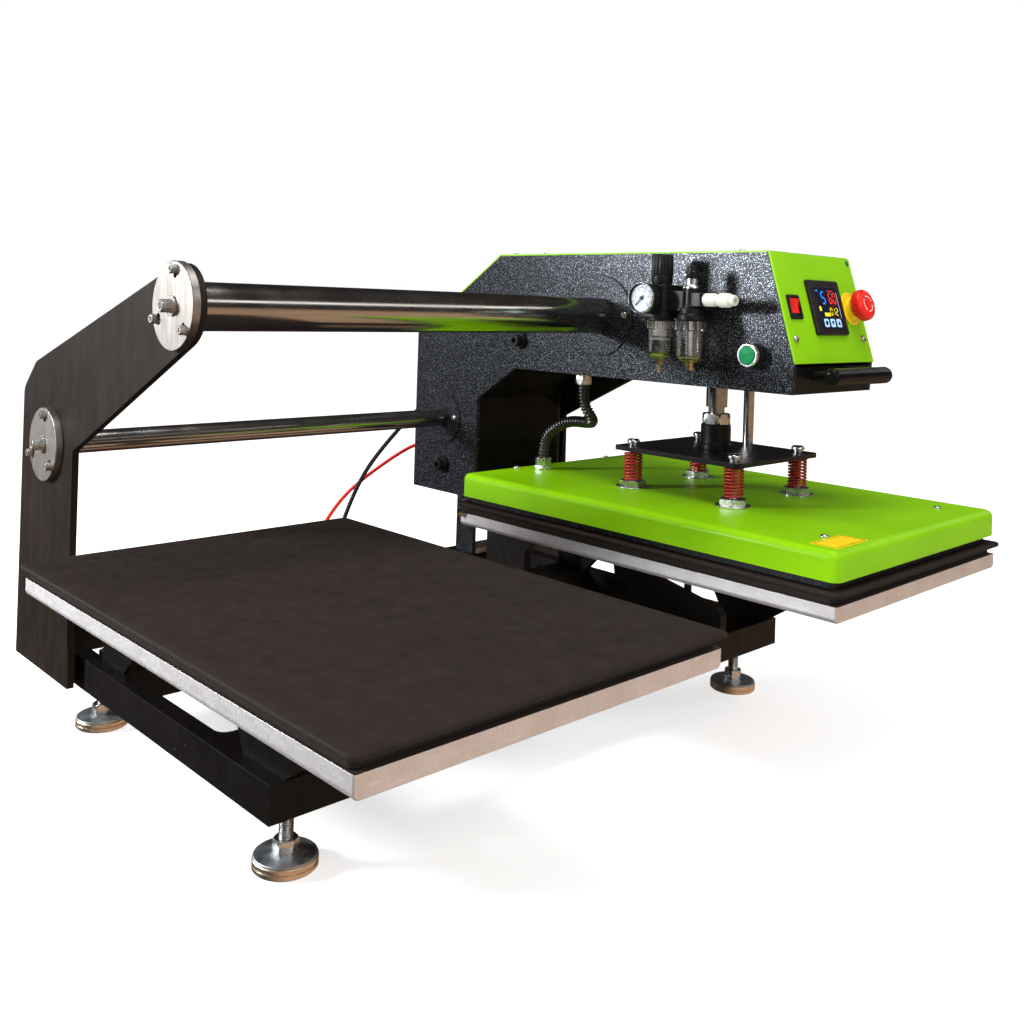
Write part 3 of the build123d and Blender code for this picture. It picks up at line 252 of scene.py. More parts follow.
def hammertone():
    """Charcoal paint that has dried in small bright beads."""
    look = Look("hammertone", Specular_IOR_Level=0.12)
    coarse = look.noise(330, 2)
    height = look.both(look.spots(950, 2), look.span(coarse, to_high=0.6), "ADD")
    flakes = look.spots(950, 1, 0.62, 0.73)
    look.base(look.spots(6, 4), (0.0045, 0.0040, 0.0042), (0.008, 0.0074, 0.0080))
    look.layer(flakes, (0.42, 0.485, 0.60))
    look.set(Metallic=look.both(flakes, 0.95))
    look.rough(coarse, 0.28, 0.31)
    return look.finish(height, 0.03, 0.6)


def green_paint():
    """Glossy yellow-green powder coat with a slight orange peel, and a painted highlight along its edges."""
    look = Look("green_paint", 0.34, Coat_Weight=0.06, Coat_Roughness=0.1, Specular_IOR_Level=0.12)
    look.base(look.spots(11, 3), (0.222, 0.535, 0.0015), (0.262, 0.60, 0.003))
    look.layer(look.spots(1600, 1, 0.66, 0.72), (0.55, 0.85, 0.08), 0.25)
    # Painted highlight: a lighter green along the edges, where light catches them.
    look.layer(look.edges(1.6), (0.45, 0.86, 0.03), 0.45)
    return look.finish(look.noise(260, 2), 0.03, 1.2)


def gloss_black():
    """Glossy black lacquer."""
    look = Look("gloss_black", Coat_Weight=0.03, Coat_Roughness=0.05, Specular_IOR_Level=0.06)
    look.base(look.spots(30, 4, 0.4), (0.0035, 0.0035, 0.0035), (0.008, 0.0075, 0.0075))
    look.rough(look.noise(50, 5), 0.12, 0.26)
    return look.finish(look.noise(200, 2), 0.03, 0.6)


def satin_black():
    """Blackened steel of the coupling, the spring plate and the stop screws."""
    look = Look("satin_black", 0.34, Specular_IOR_Level=0.25)
    look.base(look.spots(70, 4, 0.35), (0.0025, 0.0025, 0.0025), (0.007, 0.0066, 0.0062))
    look.layer(look.edges(0.5), (0.10, 0.095, 0.09), 0.3)
    return look.finish(look.noise(900, 2), 0.03, 0.4)


def chromed_shaft():
    """Hard chrome, ground round and wiped along, with a film of oil."""
    look = Look("chromed_shaft", metallic=1.0)
    wiped = look.spots(60, 4, 0.35, 0.7, (0.05, 1, 1))
    look.base(wiped, (0.40, 0.385, 0.37), (0.60, 0.585, 0.57))
    look.set(Roughness=look.span(look.noise(25, 5), 0.3, 0.75, 0.13, 0.24))
    return look.finish(look.noise(500, 2, (1, 0.02, 0.02)), 0.008, 0.3)


def zinc(name="zinc", low=(0.62, 0.62, 0.61), high=(0.80, 0.80, 0.80), roughness=0.28):
    """Bright zinc plate, a little duller here and there."""
    look = Look(name, metallic=1.0)
    look.base(look.spots(130, 3, 0.35), low, high)
    look.rough(look.noise(90, 3), roughness * 0.8, roughness * 1.2)
    return look.finish(look.noise(500, 2), 0.002, 0.35)


def brushed_disc():
    """Brushed steel with the grain across the disc."""
    look = Look("brushed_disc", metallic=1.0)
    grain = look.noise(900, 4, (1, 1, 0.03))
    look.base(look.span(grain), (0.33, 0.31, 0.29), (0.49, 0.455, 0.43))
    look.layer(look.spots(45, 5, 0.5, 0.75), (0.30, 0.25, 0.21), 0.35)
    look.rough(grain, 0.34, 0.46)
    return look.finish(grain, 0.01, 0.6)


def slab_aluminium():
    """Aluminium plate with fine upright saw marks, scratches and whitened edges, and a painted dark
    reflection on its upward faces.
    """
    look = Look("slab_aluminium", metallic=0.82)
    sawn = look.noise(900, 5, (1, 1, 0.25))
    scratches = look.spots(500, 3, 0.60, 0.68, (0.08, 0.08, 1))
    normal = look.add("ShaderNodeNewGeometry").outputs["Normal"]
    upward = look.add("ShaderNodeSeparateXYZ", {"Vector": normal}).outputs["Z"]
    look.base(look.span(sawn), (0.76, 0.74, 0.75), (0.92, 0.90, 0.93))
    look.layer(look.spots(26, 6, 0.4, 0.75), (0.60, 0.53, 0.47), 0.4)
    look.layer(scratches, (0.97, 0.96, 0.97), 0.6)
    # Painted reflection: faces that point up are mixed to dark brown, for the dark that the top mirrors.
    look.layer(look.span(upward, 0.8, 0.9), (0.19, 0.145, 0.12))
    look.layer(look.edges(0.7), (0.98, 0.97, 0.98), 0.7)
    look.rough(sawn, 0.46, 0.58)
    return look.finish(look.both(sawn, scratches, "ADD"), 0.015, 0.6)


def heated_slab():
    """The heated plate's blackened cast aluminium edge."""
    look = Look("heated_slab", 0.38, 0.7)
    grain = look.noise(500, 4, (1, 1, 0.2))
    look.base(look.span(grain), (0.016, 0.016, 0.018), (0.075, 0.078, 0.088))
    return look.finish(grain, 0.05, 0.6)


def brass():
    """Turned brass, a little tarnished."""
    look = Look("brass", 0.25, 1.0)
    look.base(look.spots(300, 4), (0.55, 0.38, 0.14), (0.82, 0.62, 0.28))
    return look.finish(look.noise(700, 2), 0.02, 0.3)


# Materials of the soft and plastic pieces

def rubber_sheet():
    """Matte brown-black sheet, faintly mottled, with a few specks of dust on it."""
    look = Look("rubber_sheet", Specular_IOR_Level=0.15)
    mottle = look.spots(60, 6, 0.3, 0.72)
    look.base(mottle, (0.0190, 0.0128, 0.0108), (0.0255, 0.0172, 0.0148))
    look.layer(look.spots(4, 5, 0.5, 0.75, (1, 0.4, 1)), (0.031, 0.0225, 0.020), 0.25)
    dust = look.both(look.span(look.cells(150), 0.06, 0.04), look.spots(19, 2, 0.58, 0.62))
    look.layer(dust, (0.25, 0.22, 0.20), 0.7)
    look.set(Roughness=look.span(mottle, 0, 1, 0.66, 0.8))
    return look.finish(look.noise(850, 3), 0.03)


def foam():
    """Fine-grained dark silicone foam."""
    look = Look("foam", 0.85, Specular_IOR_Level=0.05)
    pores = look.cells(1100)
    look.base(look.span(pores, 0.1, 0.6), (0.010, 0.0085, 0.008), (0.032, 0.026, 0.023))
    return look.finish(pores, 0.14)


def moulded(name, colour, roughness, variation=0.25, grain=0.03, specular=0.22):
    """Moulded plastic with a fine grain and a little unevenness in its colour."""
    look = Look(name, Specular_IOR_Level=specular)
    darker = tuple(c * (1 - variation) for c in colour)
    lighter = tuple(min(1, c * (1 + variation) + 0.004 * variation) for c in colour)
    look.base(look.spots(90, 4), darker, lighter)
    look.rough(look.noise(160, 3), roughness * 0.85, roughness * 1.2)
    return look.finish(look.noise(1200, 2), grain, 0.3)


def clear_plastic():
    """Clear polycarbonate of the bowls, a little cloudy."""
    look = Look("clear_plastic", 0.06, Transmission_Weight=1.0, IOR=1.58)
    look.base(look.spots(50, 3, 0.4), (0.99, 0.98, 0.97), (0.93, 0.92, 0.91))
    return look.finish(look.noise(120, 2), 0.03)


def glowing(name, colour, strength):
    """A lit segment of the display, with the fine dot pattern of its mask."""
    look = Look(name, 0.3, Base_Color=(*colour, 1), Emission_Strength=strength)
    dots = look.span(look.cells(2500), 0.0, 0.6, 1.0, 0.75)
    return look.set(Emission_Color=look.mix(dots, (0, 0, 0), colour)).material


def spring_paint():
    """Red enamel, darker and lighter here and there."""
    look = Look("spring_paint", 0.3, Coat_Weight=0.5, Coat_Roughness=0.15)
    look.base(look.spots(350, 4, 0.4, 0.72), (0.50, 0.012, 0.010), (0.26, 0.008, 0.008))
    return look.finish(look.noise(900, 2), 0.03)


# Outlines

def polar(radius, angle):
    """A point about the origin, by its angle in degrees."""
    return radius * cos(radians(angle)), radius * sin(radians(angle))


def arc(radius, start, end, steps=14):
    """Points along an arc, by its angles in degrees."""
    return [polar(radius, start + (end - start) * i / steps) for i in range(steps + 1)]


def rounded_rectangle(width, length, corner, x=0.0, y=0.0, steps=8):
    """The outline of a rectangle with round corners."""
    outline = []
    for quarter, (sx, sy) in enumerate(((1, 1), (-1, 1), (-1, -1), (1, -1))):
        for px, py in arc(corner, 90 * quarter, 90 * quarter + 90, steps):
            outline.append((x + sx * (width / 2 - corner) + px, y + sy * (length / 2 - corner) + py))
    return outline


def hexagon(width):
    """The radius of a hexagon, by its width across the flats."""
    return lambda angle: width / 2 / cos((angle + pi / 6) % (pi / 3) - pi / 6)


def cross(length, width):
    """The radius of a cross recess."""
    def radius(angle):
        off = abs((angle + pi / 4) % (pi / 2) - pi / 4)
        return min(length / cos(off), width / 2 / max(sin(off), 1e-3))
    return radius


def fluted(radius, depth, count):
    """The radius of a knob with even flutes."""
    return lambda angle: radius - depth * (0.5 + 0.5 * cos(count * angle)) ** 2


def castellated(radius, depth, count):
    """The radius of a collar with square notches."""
    return lambda angle: radius if cos(count * angle) > -0.3 else radius - depth


def smaller(shape, limit):
    """A shape cut back to a round limit, as the chamfered end of a nut is."""
    return lambda angle: min(shape(angle), limit)


# Mesh building, in millimetres

def bridge(form, lower, upper):
    """The faces between two rings of as many vertices."""
    for i in range(len(lower)):
        j = (i + 1) % len(lower)
        form.faces.new((lower[i], lower[j], upper[j], upper[i]))


def lathe(profile, sides=48, closed=False):
    """A form turned about Z from (radius, height) pairs; a radius may be a function of the angle."""
    form = bmesh.new()
    rings = []
    for radius, height in profile:
        ring = []
        for i in range(1 if radius == 0 else sides):
            angle = 2 * pi * i / sides
            reach = radius(angle) if callable(radius) else radius
            ring.append(form.verts.new((reach * cos(angle), reach * sin(angle), height)))
        rings.append(ring)
    last = rings[:1] if closed else []
    for lower, upper in zip(rings, rings[1:] + last):
        for i in range(sides):
            j = (i + 1) % sides
            corners = [lower[i % len(lower)], lower[j % len(lower)],
                       upper[j % len(upper)], upper[i % len(upper)]]
            corners = list(dict.fromkeys(corners))
            if len(corners) > 2:
                form.faces.new(corners)
    return form


def shell(sections):
    """A closed form through outlines of as many points each, given with their heights."""
    form = bmesh.new()
    rings = [[form.verts.new((x, y, z)) for x, y in outline] for outline, z in sections]
    for lower, upper in zip(rings, rings[1:]):
        bridge(form, lower, upper)
    form.faces.new(rings[0][::-1])
    form.faces.new(rings[-1])
    return form


def strip(points, width, height):
    """A flat strip of even width along points in the XY plane."""
    left, right = [], []
    for i, (x, y) in enumerate(points):
        before, after = points[max(i - 1, 0)], points[min(i + 1, len(points) - 1)]
        along = Vector((after[0] - before[0], after[1] - before[1])).normalized() * width / 2
        left.append((x - along.y, y + along.x))
        right.append((x + along.y, y - along.x))
    outline = left + right[::-1]
    return shell([(outline, 0), (outline, height)])


def cushion(width, length, corner, z0, z1, edge, x=0.0, y=0.0):
    """A rectangular block with round corners and chamfered rims."""
    full = rounded_rectangle(width, length, corner, x, y, 5)
    small = rounded_rectangle(width - 2 * edge, length - 2 * edge, max(corner - edge, 0.1), x, y, 5)
    return shell([(small, z0), (full, z0 + edge), (full, z1 - edge), (small, z1)])


def tube(path, radius, sides=12):
    """A closed tube along points; the radius may be a function of the length along it."""
    form = bmesh.new()
    across = (path[1] - path[0]).orthogonal().normalized()
    travelled = 0.0
    rings = []
    for i, point in enumerate(path):
        along = (path[min(i + 1, len(path) - 1)] - path[max(i - 1, 0)]).normalized()
        across = (across - along * across.dot(along)).normalized()
        other = along.cross(across)
        if i:
            travelled += (point - path[i - 1]).length
        reach = radius(travelled) if callable(radius) else radius
        ring = []
        for j in range(sides):
            angle = 2 * pi * j / sides
            ring.append(form.verts.new(point + reach * (cos(angle) * across + sin(angle) * other)))
        rings.append(ring)
    for lower, upper in zip(rings, rings[1:]):
        bridge(form, lower, upper)
    form.faces.new(rings[0][::-1])
    form.faces.new(rings[-1])
    return form


def digits(characters, y, width, height, stroke):
    """The strips of seven-segment digits, by the place of each along X."""
    segments = {"0": "abcdef", "1": "bc", "2": "abged", "4": "fgbc",
                "5": "afgcd", "6": "afgedc", "8": "abcdefg"}
    ends = {"a": ((-1, 1), (1, 1)), "b": ((1, 1), (1, 0)), "c": ((1, 0), (1, -1)), "d": ((-1, -1), (1, -1)),
            "e": ((-1, 0), (-1, -1)), "f": ((-1, 1), (-1, 0)), "g": ((-1, 0), (1, 0))}
    strips = []
    for x, character in characters.items():
        for segment in segments[character]:
            a, b = (Vector((x + ex * width / 2, y + ey * height / 2)) for ex, ey in ends[segment])
            gap = (b - a).normalized() * stroke * 0.56
            strips.append(strip([a + gap, b - gap], stroke, 0.15))
    return strips


def placed(point, axis=(0, 0, 1), turn=0.0):
    """Where a form built about Z goes: its foot at a point, its Z along an axis, turned in degrees."""
    tilt = Vector((0, 0, 1)).rotation_difference(Vector(axis)).to_matrix().to_4x4()
    return Matrix.Translation(Vector(point)) @ tilt @ Matrix.Rotation(radians(turn), 4, "Z")


def on_panel(u, v, height=PANEL_FACE):
    """Where a form goes that stands on the sloping panel: right, up the slope, and out of it."""
    up = Vector((0, sin(PANEL_TILT), cos(PANEL_TILT)))
    out = Vector((0, -cos(PANEL_TILT), sin(PANEL_TILT)))
    right = Vector((1, 0, 0))
    point = PANEL_BOTTOM + u * right + v * up + height * out
    return Matrix.Translation(point) @ Matrix((right, up, out)).transposed().to_4x4()


def make(name, forms, material, stands_for=None, body="carriage", sharp=35):
    """An object from forms, with the given material, that rides on a body.

    A form that comes with places is put at each of them. The object may stand for a CAD node.
    """
    whole = bmesh.new()
    for item in forms:
        form, *places = item if isinstance(item, tuple) else (item, HERE)
        mesh = bpy.data.meshes.new("form")
        form.to_mesh(mesh)
        form.free()
        for place in places:
            first = len(whole.verts)
            whole.from_mesh(mesh)
            whole.verts.ensure_lookup_table()
            bmesh.ops.transform(whole, matrix=place, verts=whole.verts[first:])
        bpy.data.meshes.remove(mesh)
    bmesh.ops.transform(whole, matrix=Matrix.Scale(MM, 4), verts=whole.verts)
    bmesh.ops.recalc_face_normals(whole, faces=whole.faces)
    mesh = bpy.data.meshes.new(name)
    whole.to_mesh(mesh)
    whole.free()
    mesh.polygons.foreach_set("use_smooth", [True] * len(mesh.polygons))
    mesh.set_sharp_from_angle(angle=radians(sharp))
    mesh.materials.append(material)
    piece = bpy.data.objects.new(name, mesh)
    bpy.context.scene.collection.objects.link(piece)
    if body:
        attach(piece, body)
    if stands_for:
        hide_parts(stands_for)
    return piece


def smooth_line(name, points, resolution):
    """A curve object that follows points smoothly, from the first to the last of them."""
    curve = bpy.data.curves.new(name, "CURVE")
    curve.dimensions = "3D"
    spline = curve.splines.new("NURBS")
    spline.points.add(len(points) - 1)
    for control, point in zip(spline.points, points):
        control.co = (*point, 1)
    spline.order_u = 3
    spline.use_endpoint_u = True
    curve.resolution_u = resolution
    line = bpy.data.objects.new(name, curve)
    bpy.context.scene.collection.objects.link(line)
    return line


# The power cable and the air hose, in metres

CABLE_ROUTE = [
    (0.262, 0.430, 0.352), (0.262, 0.448, 0.352), (0.254, 0.464, 0.346), (0.234, 0.474, 0.325),
    (0.206, 0.477, 0.298), (0.177, 0.478, 0.270), (0.150, 0.478, 0.240), (0.127, 0.478, 0.202),
    (0.108, 0.479, 0.158), (0.094, 0.481, 0.112), (0.081, 0.485, 0.068), (0.063, 0.491, 0.032),
    (0.036, 0.497, 0.011), (0.004, 0.500, 0.0035), (-0.021, 0.500, 0.0035),
]
HOSE_ROUTE = [
    (0.262, 0.430, 0.284), (0.262, 0.450, 0.284), (0.252, 0.472, 0.280), (0.226, 0.486, 0.264),
    (0.192, 0.492, 0.244), (0.156, 0.494, 0.224), (0.120, 0.495, 0.199), (0.090, 0.496, 0.166),
    (0.066, 0.497, 0.126), (0.044, 0.500, 0.084), (0.016, 0.505, 0.046), (-0.024, 0.512, 0.019),
    (-0.072, 0.519, 0.006), (-0.120, 0.523, 0.003), (-0.166, 0.523, 0.003),
]
CABLE_COIL = (-0.028, 0.500)
HOSE_COIL = (-0.172, 0.523)
COIL_TURNS = 5.5
COIL_GAP = 0.0009
POINTS_A_TURN = 14


def coil_points(place, middle, tail, radius):
    """The floor coil's turns: they spiral in, climb on top of themselves in half a turn, and spiral out."""
    x, y = place
    pitch = 2 * radius + COIL_GAP
    half = COIL_TURNS / 2
    outer = middle + pitch * half / 2
    points = []
    for i in range(int(COIL_TURNS * POINTS_A_TURN) + 1):
        turn = i / POINTS_A_TURN
        past = turn - half
        share = min(max(past + 0.5, 0), 1)
        reach = outer - pitch * (half - hypot(past, 0.2))
        angle = 2 * pi * turn
        points.append((x - reach * sin(angle), y - outer + reach * cos(angle),
                       radius + pitch * share * share * (3 - 2 * share)))
    last = points[-1]
    return points + [(last[0] + tail * step / 3, last[1], last[2]) for step in (1, 2, 3)]


def free_cord(name, points, radius, material):
    """A round cord along a smooth line, that hangs from the carriage."""
    piece = smooth_line(name, points, 8)
    curve = piece.data
    curve.bevel_depth = radius
    curve.bevel_resolution = 5
    curve.use_fill_caps = True
    curve.materials.append(material)
    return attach(piece, "carriage")


def cord_tie(name, place, radius, material):
    """A flat strap round the two layers of a coil's turns, at the side that faces back."""
    x, y = place[0] / MM, place[1] / MM
    width = 3 * (2 * radius + 1) + 3
    top = 4 * radius + 3
    outline = rounded_rectangle(width, top, 3, 0, top / 2)
    inner = rounded_rectangle(width - 1.6, top - 1.6, 2.4, 0, top / 2)
    band = bmesh.new()
    rings = []
    for shape, z in ((outline, -3), (outline, 3), (inner, 3), (inner, -3)):
        rings.append([band.verts.new((px, py, z)) for px, py in shape])
    for lower, upper in zip(rings, rings[1:] + rings[:1]):
        bridge(band, lower, upper)
    stand = Matrix(((0, 0, 1), (1, 0, 0), (0, 1, 0))).to_4x4()
    standing = Matrix.Translation((x, y - width / 2 + radius + 1.5, 0.2)) @ stand
    return make(name, [(band, standing)], material)


def add_cords(sheath, hose_skin, rubber):
    """The two supply lines, and the pieces that they leave the column through."""
    points = CABLE_ROUTE + coil_points(CABLE_COIL, 0.0385, 0.046, 0.0035)
    cable = free_cord("power_lead", points, 0.0035, sheath)
    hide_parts("power_cable", "power_cable_coil")
    relief = [(0, 0), (7.6, 0), (7.6, 2), (6.9, 3)]
    for rib in range(6):
        height = 4 + 3.4 * rib
        reach = 6.9 - 0.45 * rib
        groove = reach - 1.1
        relief += [(reach, height), (reach, height + 1.8), (groove, height + 2.1), (groove, height + 3.1)]
    relief += [(3.9, 26), (3.5, 26.4)]
    x, y, z = CABLE_EXIT
    sleeve = [(lathe(relief, 32), placed((x, y + GLAND_HEIGHT, z), (0, 1, 0)))]
    sleeve = make("strain_relief", sleeve, rubber)
    tie = cord_tie("lead_tie", CABLE_COIL, 3.5, rubber)
    points = HOSE_ROUTE + coil_points(HOSE_COIL, 0.033, 0.038, 0.003)
    hose = free_cord("air_line", points, 0.003, hose_skin)
    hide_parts("air_hose", "air_hose_coil")
    tie = cord_tie("hose_tie", HOSE_COIL, 3, rubber)


# The soft pads of the two stations

def pad_form(width, length, z0, z1, corner, edge, dip, seed):
    """A slab with rounded edges whose upper face lies a little unevenly."""
    rows = [(z0, edge), (z0 + edge * 0.3, edge * 0.3), (z0 + edge, 0), (z1 - edge, 0),
            (z1 - edge * 0.3, edge * 0.3), (z1, edge)]
    rows = [(z, inset, corner - inset) for z, inset in rows] + [(z1, inset, corner) for inset in (12, 24, 36)]
    form = shell([(rounded_rectangle(width - 2 * inset, length - 2 * inset, rounding, steps=6), z)
                  for z, inset, rounding in rows])
    phase = random.Random(seed).uniform(0, 6)
    for vertex in form.verts:
        if vertex.co.z > z1 - edge:
            wave = sin(vertex.co.x / 61 + phase) + sin(vertex.co.y / 83 + 2 * phase)
            vertex.co.z -= dip * (0.5 + 0.25 * wave)
    return form


def add_pads(foam_material, sheet_material):
    """A foam pad with a rubber sheet on it, on each lower platen."""
    for side, sign in (("left", -1), ("right", 1)):
        place = Matrix.Translation((sign * STATION_X, PLATEN_Y, 0))
        pad = pad_form(PAD_WIDTH, PAD_LENGTH, SLAB_TOP, FOAM_TOP, 6, 1.5, 0, sign)
        pad = make(f"foam_pad_{side}", [(pad, place)], foam_material, "foam_pads", "frame", 60)
        sheet = pad_form(TOP_SHEET_WIDTH, TOP_SHEET_LENGTH, FOAM_TOP, SHEET_TOP, 9, 1.6, 0.35, sign)
        sheet = make(f"top_sheet_{side}", [(sheet, place)], sheet_material,
                     "pad_top_sheets", "frame", 60)


# The springs, and the conduit to the heated platen

def spring_places():
    """The axes of the four springs."""
    return [(STATION_X + sx * SPRING_OFFSETS[0], PLATEN_Y + sy * SPRING_OFFSETS[1])
            for sy in (-1, 1) for sx in (-1, 1)]


def add_springs(material):
    """Four wound springs, closed at both ends."""
    height = SPRING_TOP - SPRING_BOTTOM
    steps = SPRING_STEPS_A_TURN * SPRING_TURNS
    for number, (x, y) in enumerate(spring_places()):
        path = []
        for i in range(steps + 1):
            share = i / steps
            angle = 2 * pi * SPRING_TURNS * share + number
            path.append(Vector((x + SPRING_RADIUS * cos(angle), y + SPRING_RADIUS * sin(angle),
                                SPRING_BOTTOM + SPRING_WIRE / 2 + (height - SPRING_WIRE) * share)))
        forms = [tube(path, SPRING_WIRE / 2)]
        spring = make(f"spring_{number + 1}", forms, material, "die_springs", "ram")
        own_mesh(spring)


def conduit_path():
    """The conduit's line, from the arm down to the heated platen, with small steps."""
    corners = [CONDUIT_TOP, (228, 54, 393), (232, 44, 375), (243, 46, 363), (247, 66, 361),
               (244, 92, 361), (236, 114, 351), (228, 132, 332), CONDUIT_END]
    line = smooth_line("conduit_line", corners, 48)
    mesh = bpy.data.meshes.new_from_object(line)
    points = [v.co.copy() for v in mesh.vertices]
    bpy.data.curves.remove(line.data)
    bpy.data.meshes.remove(mesh)
    return points


def evenly(points, step):
    """Points a fixed length apart along a line of points."""
    spaced = [points[0]]
    carried = 0.0
    for a, b in zip(points, points[1:]):
        length = (b - a).length
        while length > 1e-6 and carried + length >= step:
            a = a.lerp(b, (step - carried) / length)
            length = (b - a).length
            spaced.append(a.copy())
            carried = 0.0
        carried += length
    if (points[-1] - spaced[-1]).length > step * 0.2:
        spaced.append(points[-1])
    return spaced


def add_conduit(material):
    """A ribbed conduit along the conduit's line."""
    pitch = 4.8

    def ribbed(travelled):
        return 7.4 + max(-1.0, min(1.0, 0.4 + 2.2 * sin(2 * pi * travelled / pitch)))

    forms = [tube(evenly(conduit_path(), 0.6), ribbed, 20)]
    conduit = make("ribbed_conduit", forms, material, "conduit", None, 50)
    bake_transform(conduit)


# Fasteners

def socket_screw(radius, height, socket):
    """A cylinder-head screw with a hexagon socket and a knurled side."""
    knurl = fluted(radius, 0.035 * radius, 36)
    chamfer = 0.12 * radius
    profile = [(0, 0), (radius, 0), (knurl, 0.1), (knurl, height - chamfer), (radius - chamfer, height),
               (hexagon(socket * 1.06), height), (hexagon(socket), height - 0.3),
               (hexagon(socket), height * 0.45), (0, height * 0.4)]
    return lathe(profile, 72)


def pan_screw(radius, height):
    """A pan-head screw with a cross recess."""
    profile = [(0, 0), (radius, 0)]
    for i in range(7):
        angle = pi / 2 * i / 8
        profile.append((radius * (0.55 + 0.45 * cos(angle)), height * (0.25 + 0.75 * sin(angle))))
    profile += [(cross(radius * 0.5, radius * 0.2), height),
                (cross(radius * 0.42, radius * 0.14), height * 0.45), (0, height * 0.4)]
    return lathe(profile)


def button_screw(radius, height, socket):
    """A domed screw with a hexagon socket."""
    profile = [(0, 0), (radius, 0), (radius, height * 0.15)]
    for i in range(1, 7):
        angle = pi / 2 * i / 7
        profile.append((radius * (0.52 + 0.48 * cos(angle)), height * (0.15 + 0.85 * sin(angle))))
    profile += [(hexagon(socket), height), (hexagon(socket), height * 0.4), (0, height * 0.35)]
    return lathe(profile)


def nut(width, height, bore):
    """A hexagon nut with both ends chamfered."""
    flat = hexagon(width)
    profile = [(bore, 0), (smaller(flat, width * 0.52), 0), (flat, height * 0.12), (flat, height * 0.88),
               (smaller(flat, width * 0.52), height), (bore + 0.5, height), (bore, height - 0.5)]
    return lathe(profile, 72, closed=True)


def washer(inner, outer, height):
    """A flat washer with its outer rims chamfered."""
    edge = min(0.3, height / 3)
    profile = [(inner, 0), (outer - edge, 0), (outer, edge), (outer, height - edge), (outer - edge, height),
               (inner, height)]
    return lathe(profile, closed=True)


def thread(radius, pitch, length):
    """A threaded rod, its ridges as close rings."""
    profile = [(0, 0), (radius * 0.86, 0)]
    for i in range(int(length / pitch)):
        profile += [(radius, (i + 0.5) * pitch), (radius * 0.86, (i + 1) * pitch)]
    profile.append((0, length))
    return lathe(profile, 24)


def add_disc_screws(material):
    """Socket screws round each shaft-end disc, and the big one in its middle on a washer."""
    screws, middles, washers = [], [], []
    for side in (-1, 1):
        for y, z in (UPPER_SHAFT, LOWER_SHAFT):
            for angle in (98, 218, 338):
                across, up = polar(DISC_SCREW_CIRCLE, angle)
                screws.append(placed((side * DISC_FACE, y + across, z + up), (side, 0, 0), angle))
            washers.append(placed((side * DISC_FACE, y, z), (side, 0, 0)))
            middles.append(placed((side * (DISC_FACE + MIDDLE_WASHER), y, z), (side, 0, 0), 20))
    forms = [(socket_screw(4.9, 6.5, 4), *screws), (socket_screw(6.8, 11, 6), *middles),
             (washer(5, 10.5, MIDDLE_WASHER), *washers)]
    make("shaft_end_screws", forms, material, "rail_end_screws", "frame")


def add_flange_screws(material):
    """Button screws that hold the bearing flanges to the head's two plates."""
    places = []
    for side, face in HEAD_SIDES:
        for (y, z), circle in ((UPPER_SHAFT, 45), (LOWER_SHAFT, 29)):
            for end in (-1, 1):
                point = (face + side * FLANGE_THICKNESS, y + end * circle, z - 2 * end)
                places.append(placed(point, (side, 0, 0), 30 * end))
    make("flange_screws", [(button_screw(4.6, 2.6, 3), *places)], material)


def add_cover_screws(material):
    """Pan screws on the head, the panel and the heated platen's cover, and bolts on the base's back."""
    head = [placed((x, y, HEAD_TOP), turn=y) for x in (222, 380) for y in (-216, 133, 198)]
    head += [placed((x, HEAD_BACK, z), (0, 1, 0), z) for x in (222, 380) for z in (240, 455)]
    make("head_screws", [(pan_screw(4.5, 2.6), *head)], material)
    panel = [on_panel(u, 30.5) for u in (-82, 81)]
    make("panel_screws", [(pan_screw(4.8, 2.8), *panel)], material)
    corners = ((160, -378), (442, -378), (200, 160), (402, 160))
    cover = [placed((x, y, COVER_TOP), turn=x + y) for x, y in corners]
    make("platen_cover_screws", [(pan_screw(4.6, 2.8), *cover)], material, body="upper_platen")
    base = [placed((x, 407, 100), turn=x) for x in (-370, -336, 336, 370)]
    make("base_bolts", [(button_screw(6, 3.6, 4), *base)], material, body="frame")


def add_slab_lug(material):
    """The small lug with its screw at the back left corner of the right slab."""
    forms = [cushion(14, 9, 1, SLAB_TOP, SLAB_TOP + 1.2, 0.3, 98, 165),
             (pan_screw(3.4, 5), placed((96, 165, SLAB_TOP), (0, 0, -1)))]
    make("slab_lug", forms, material, body="frame")


def add_feet(steel, bluish, tan):
    """Each levelling foot: a threaded stem with its lock nut, on a cap with a layered rim."""
    cap = [(0, 10.2), (29.6, 10.2), (30.2, 10.6), (30.2, 11.4), (29.2, 12.3), (20, 13.4),
           (12.5, FOOT_CAP_TOP), (0, FOOT_CAP_TOP)]
    rim = [(0, 0), (30, 0), (31, 1), (31, 4.4), (29.9, 4.9), (29.9, 5.5), (31, 6), (31, 9.2),
           (30.2, 10.2), (0, 10.2)]
    for place, (x, y) in FEET.items():
        node = f"foot_{place}"
        floor, top = placed((x, y, 0)), placed((x, y, FOOT_CAP_TOP))
        stem = [(thread(7, 1.75, 78), top), (nut(22, 12, 6.9), placed((x, y, FOOT_CAP_TOP), turn=x))]
        make(f"{node}_stem", stem, steel, node, node)
        make(f"{node}_cap", [(lathe(cap, 64), floor)], bluish, node, node)
        make(f"{node}_rim", [(lathe(rim, 64), floor)], tan, node, node)


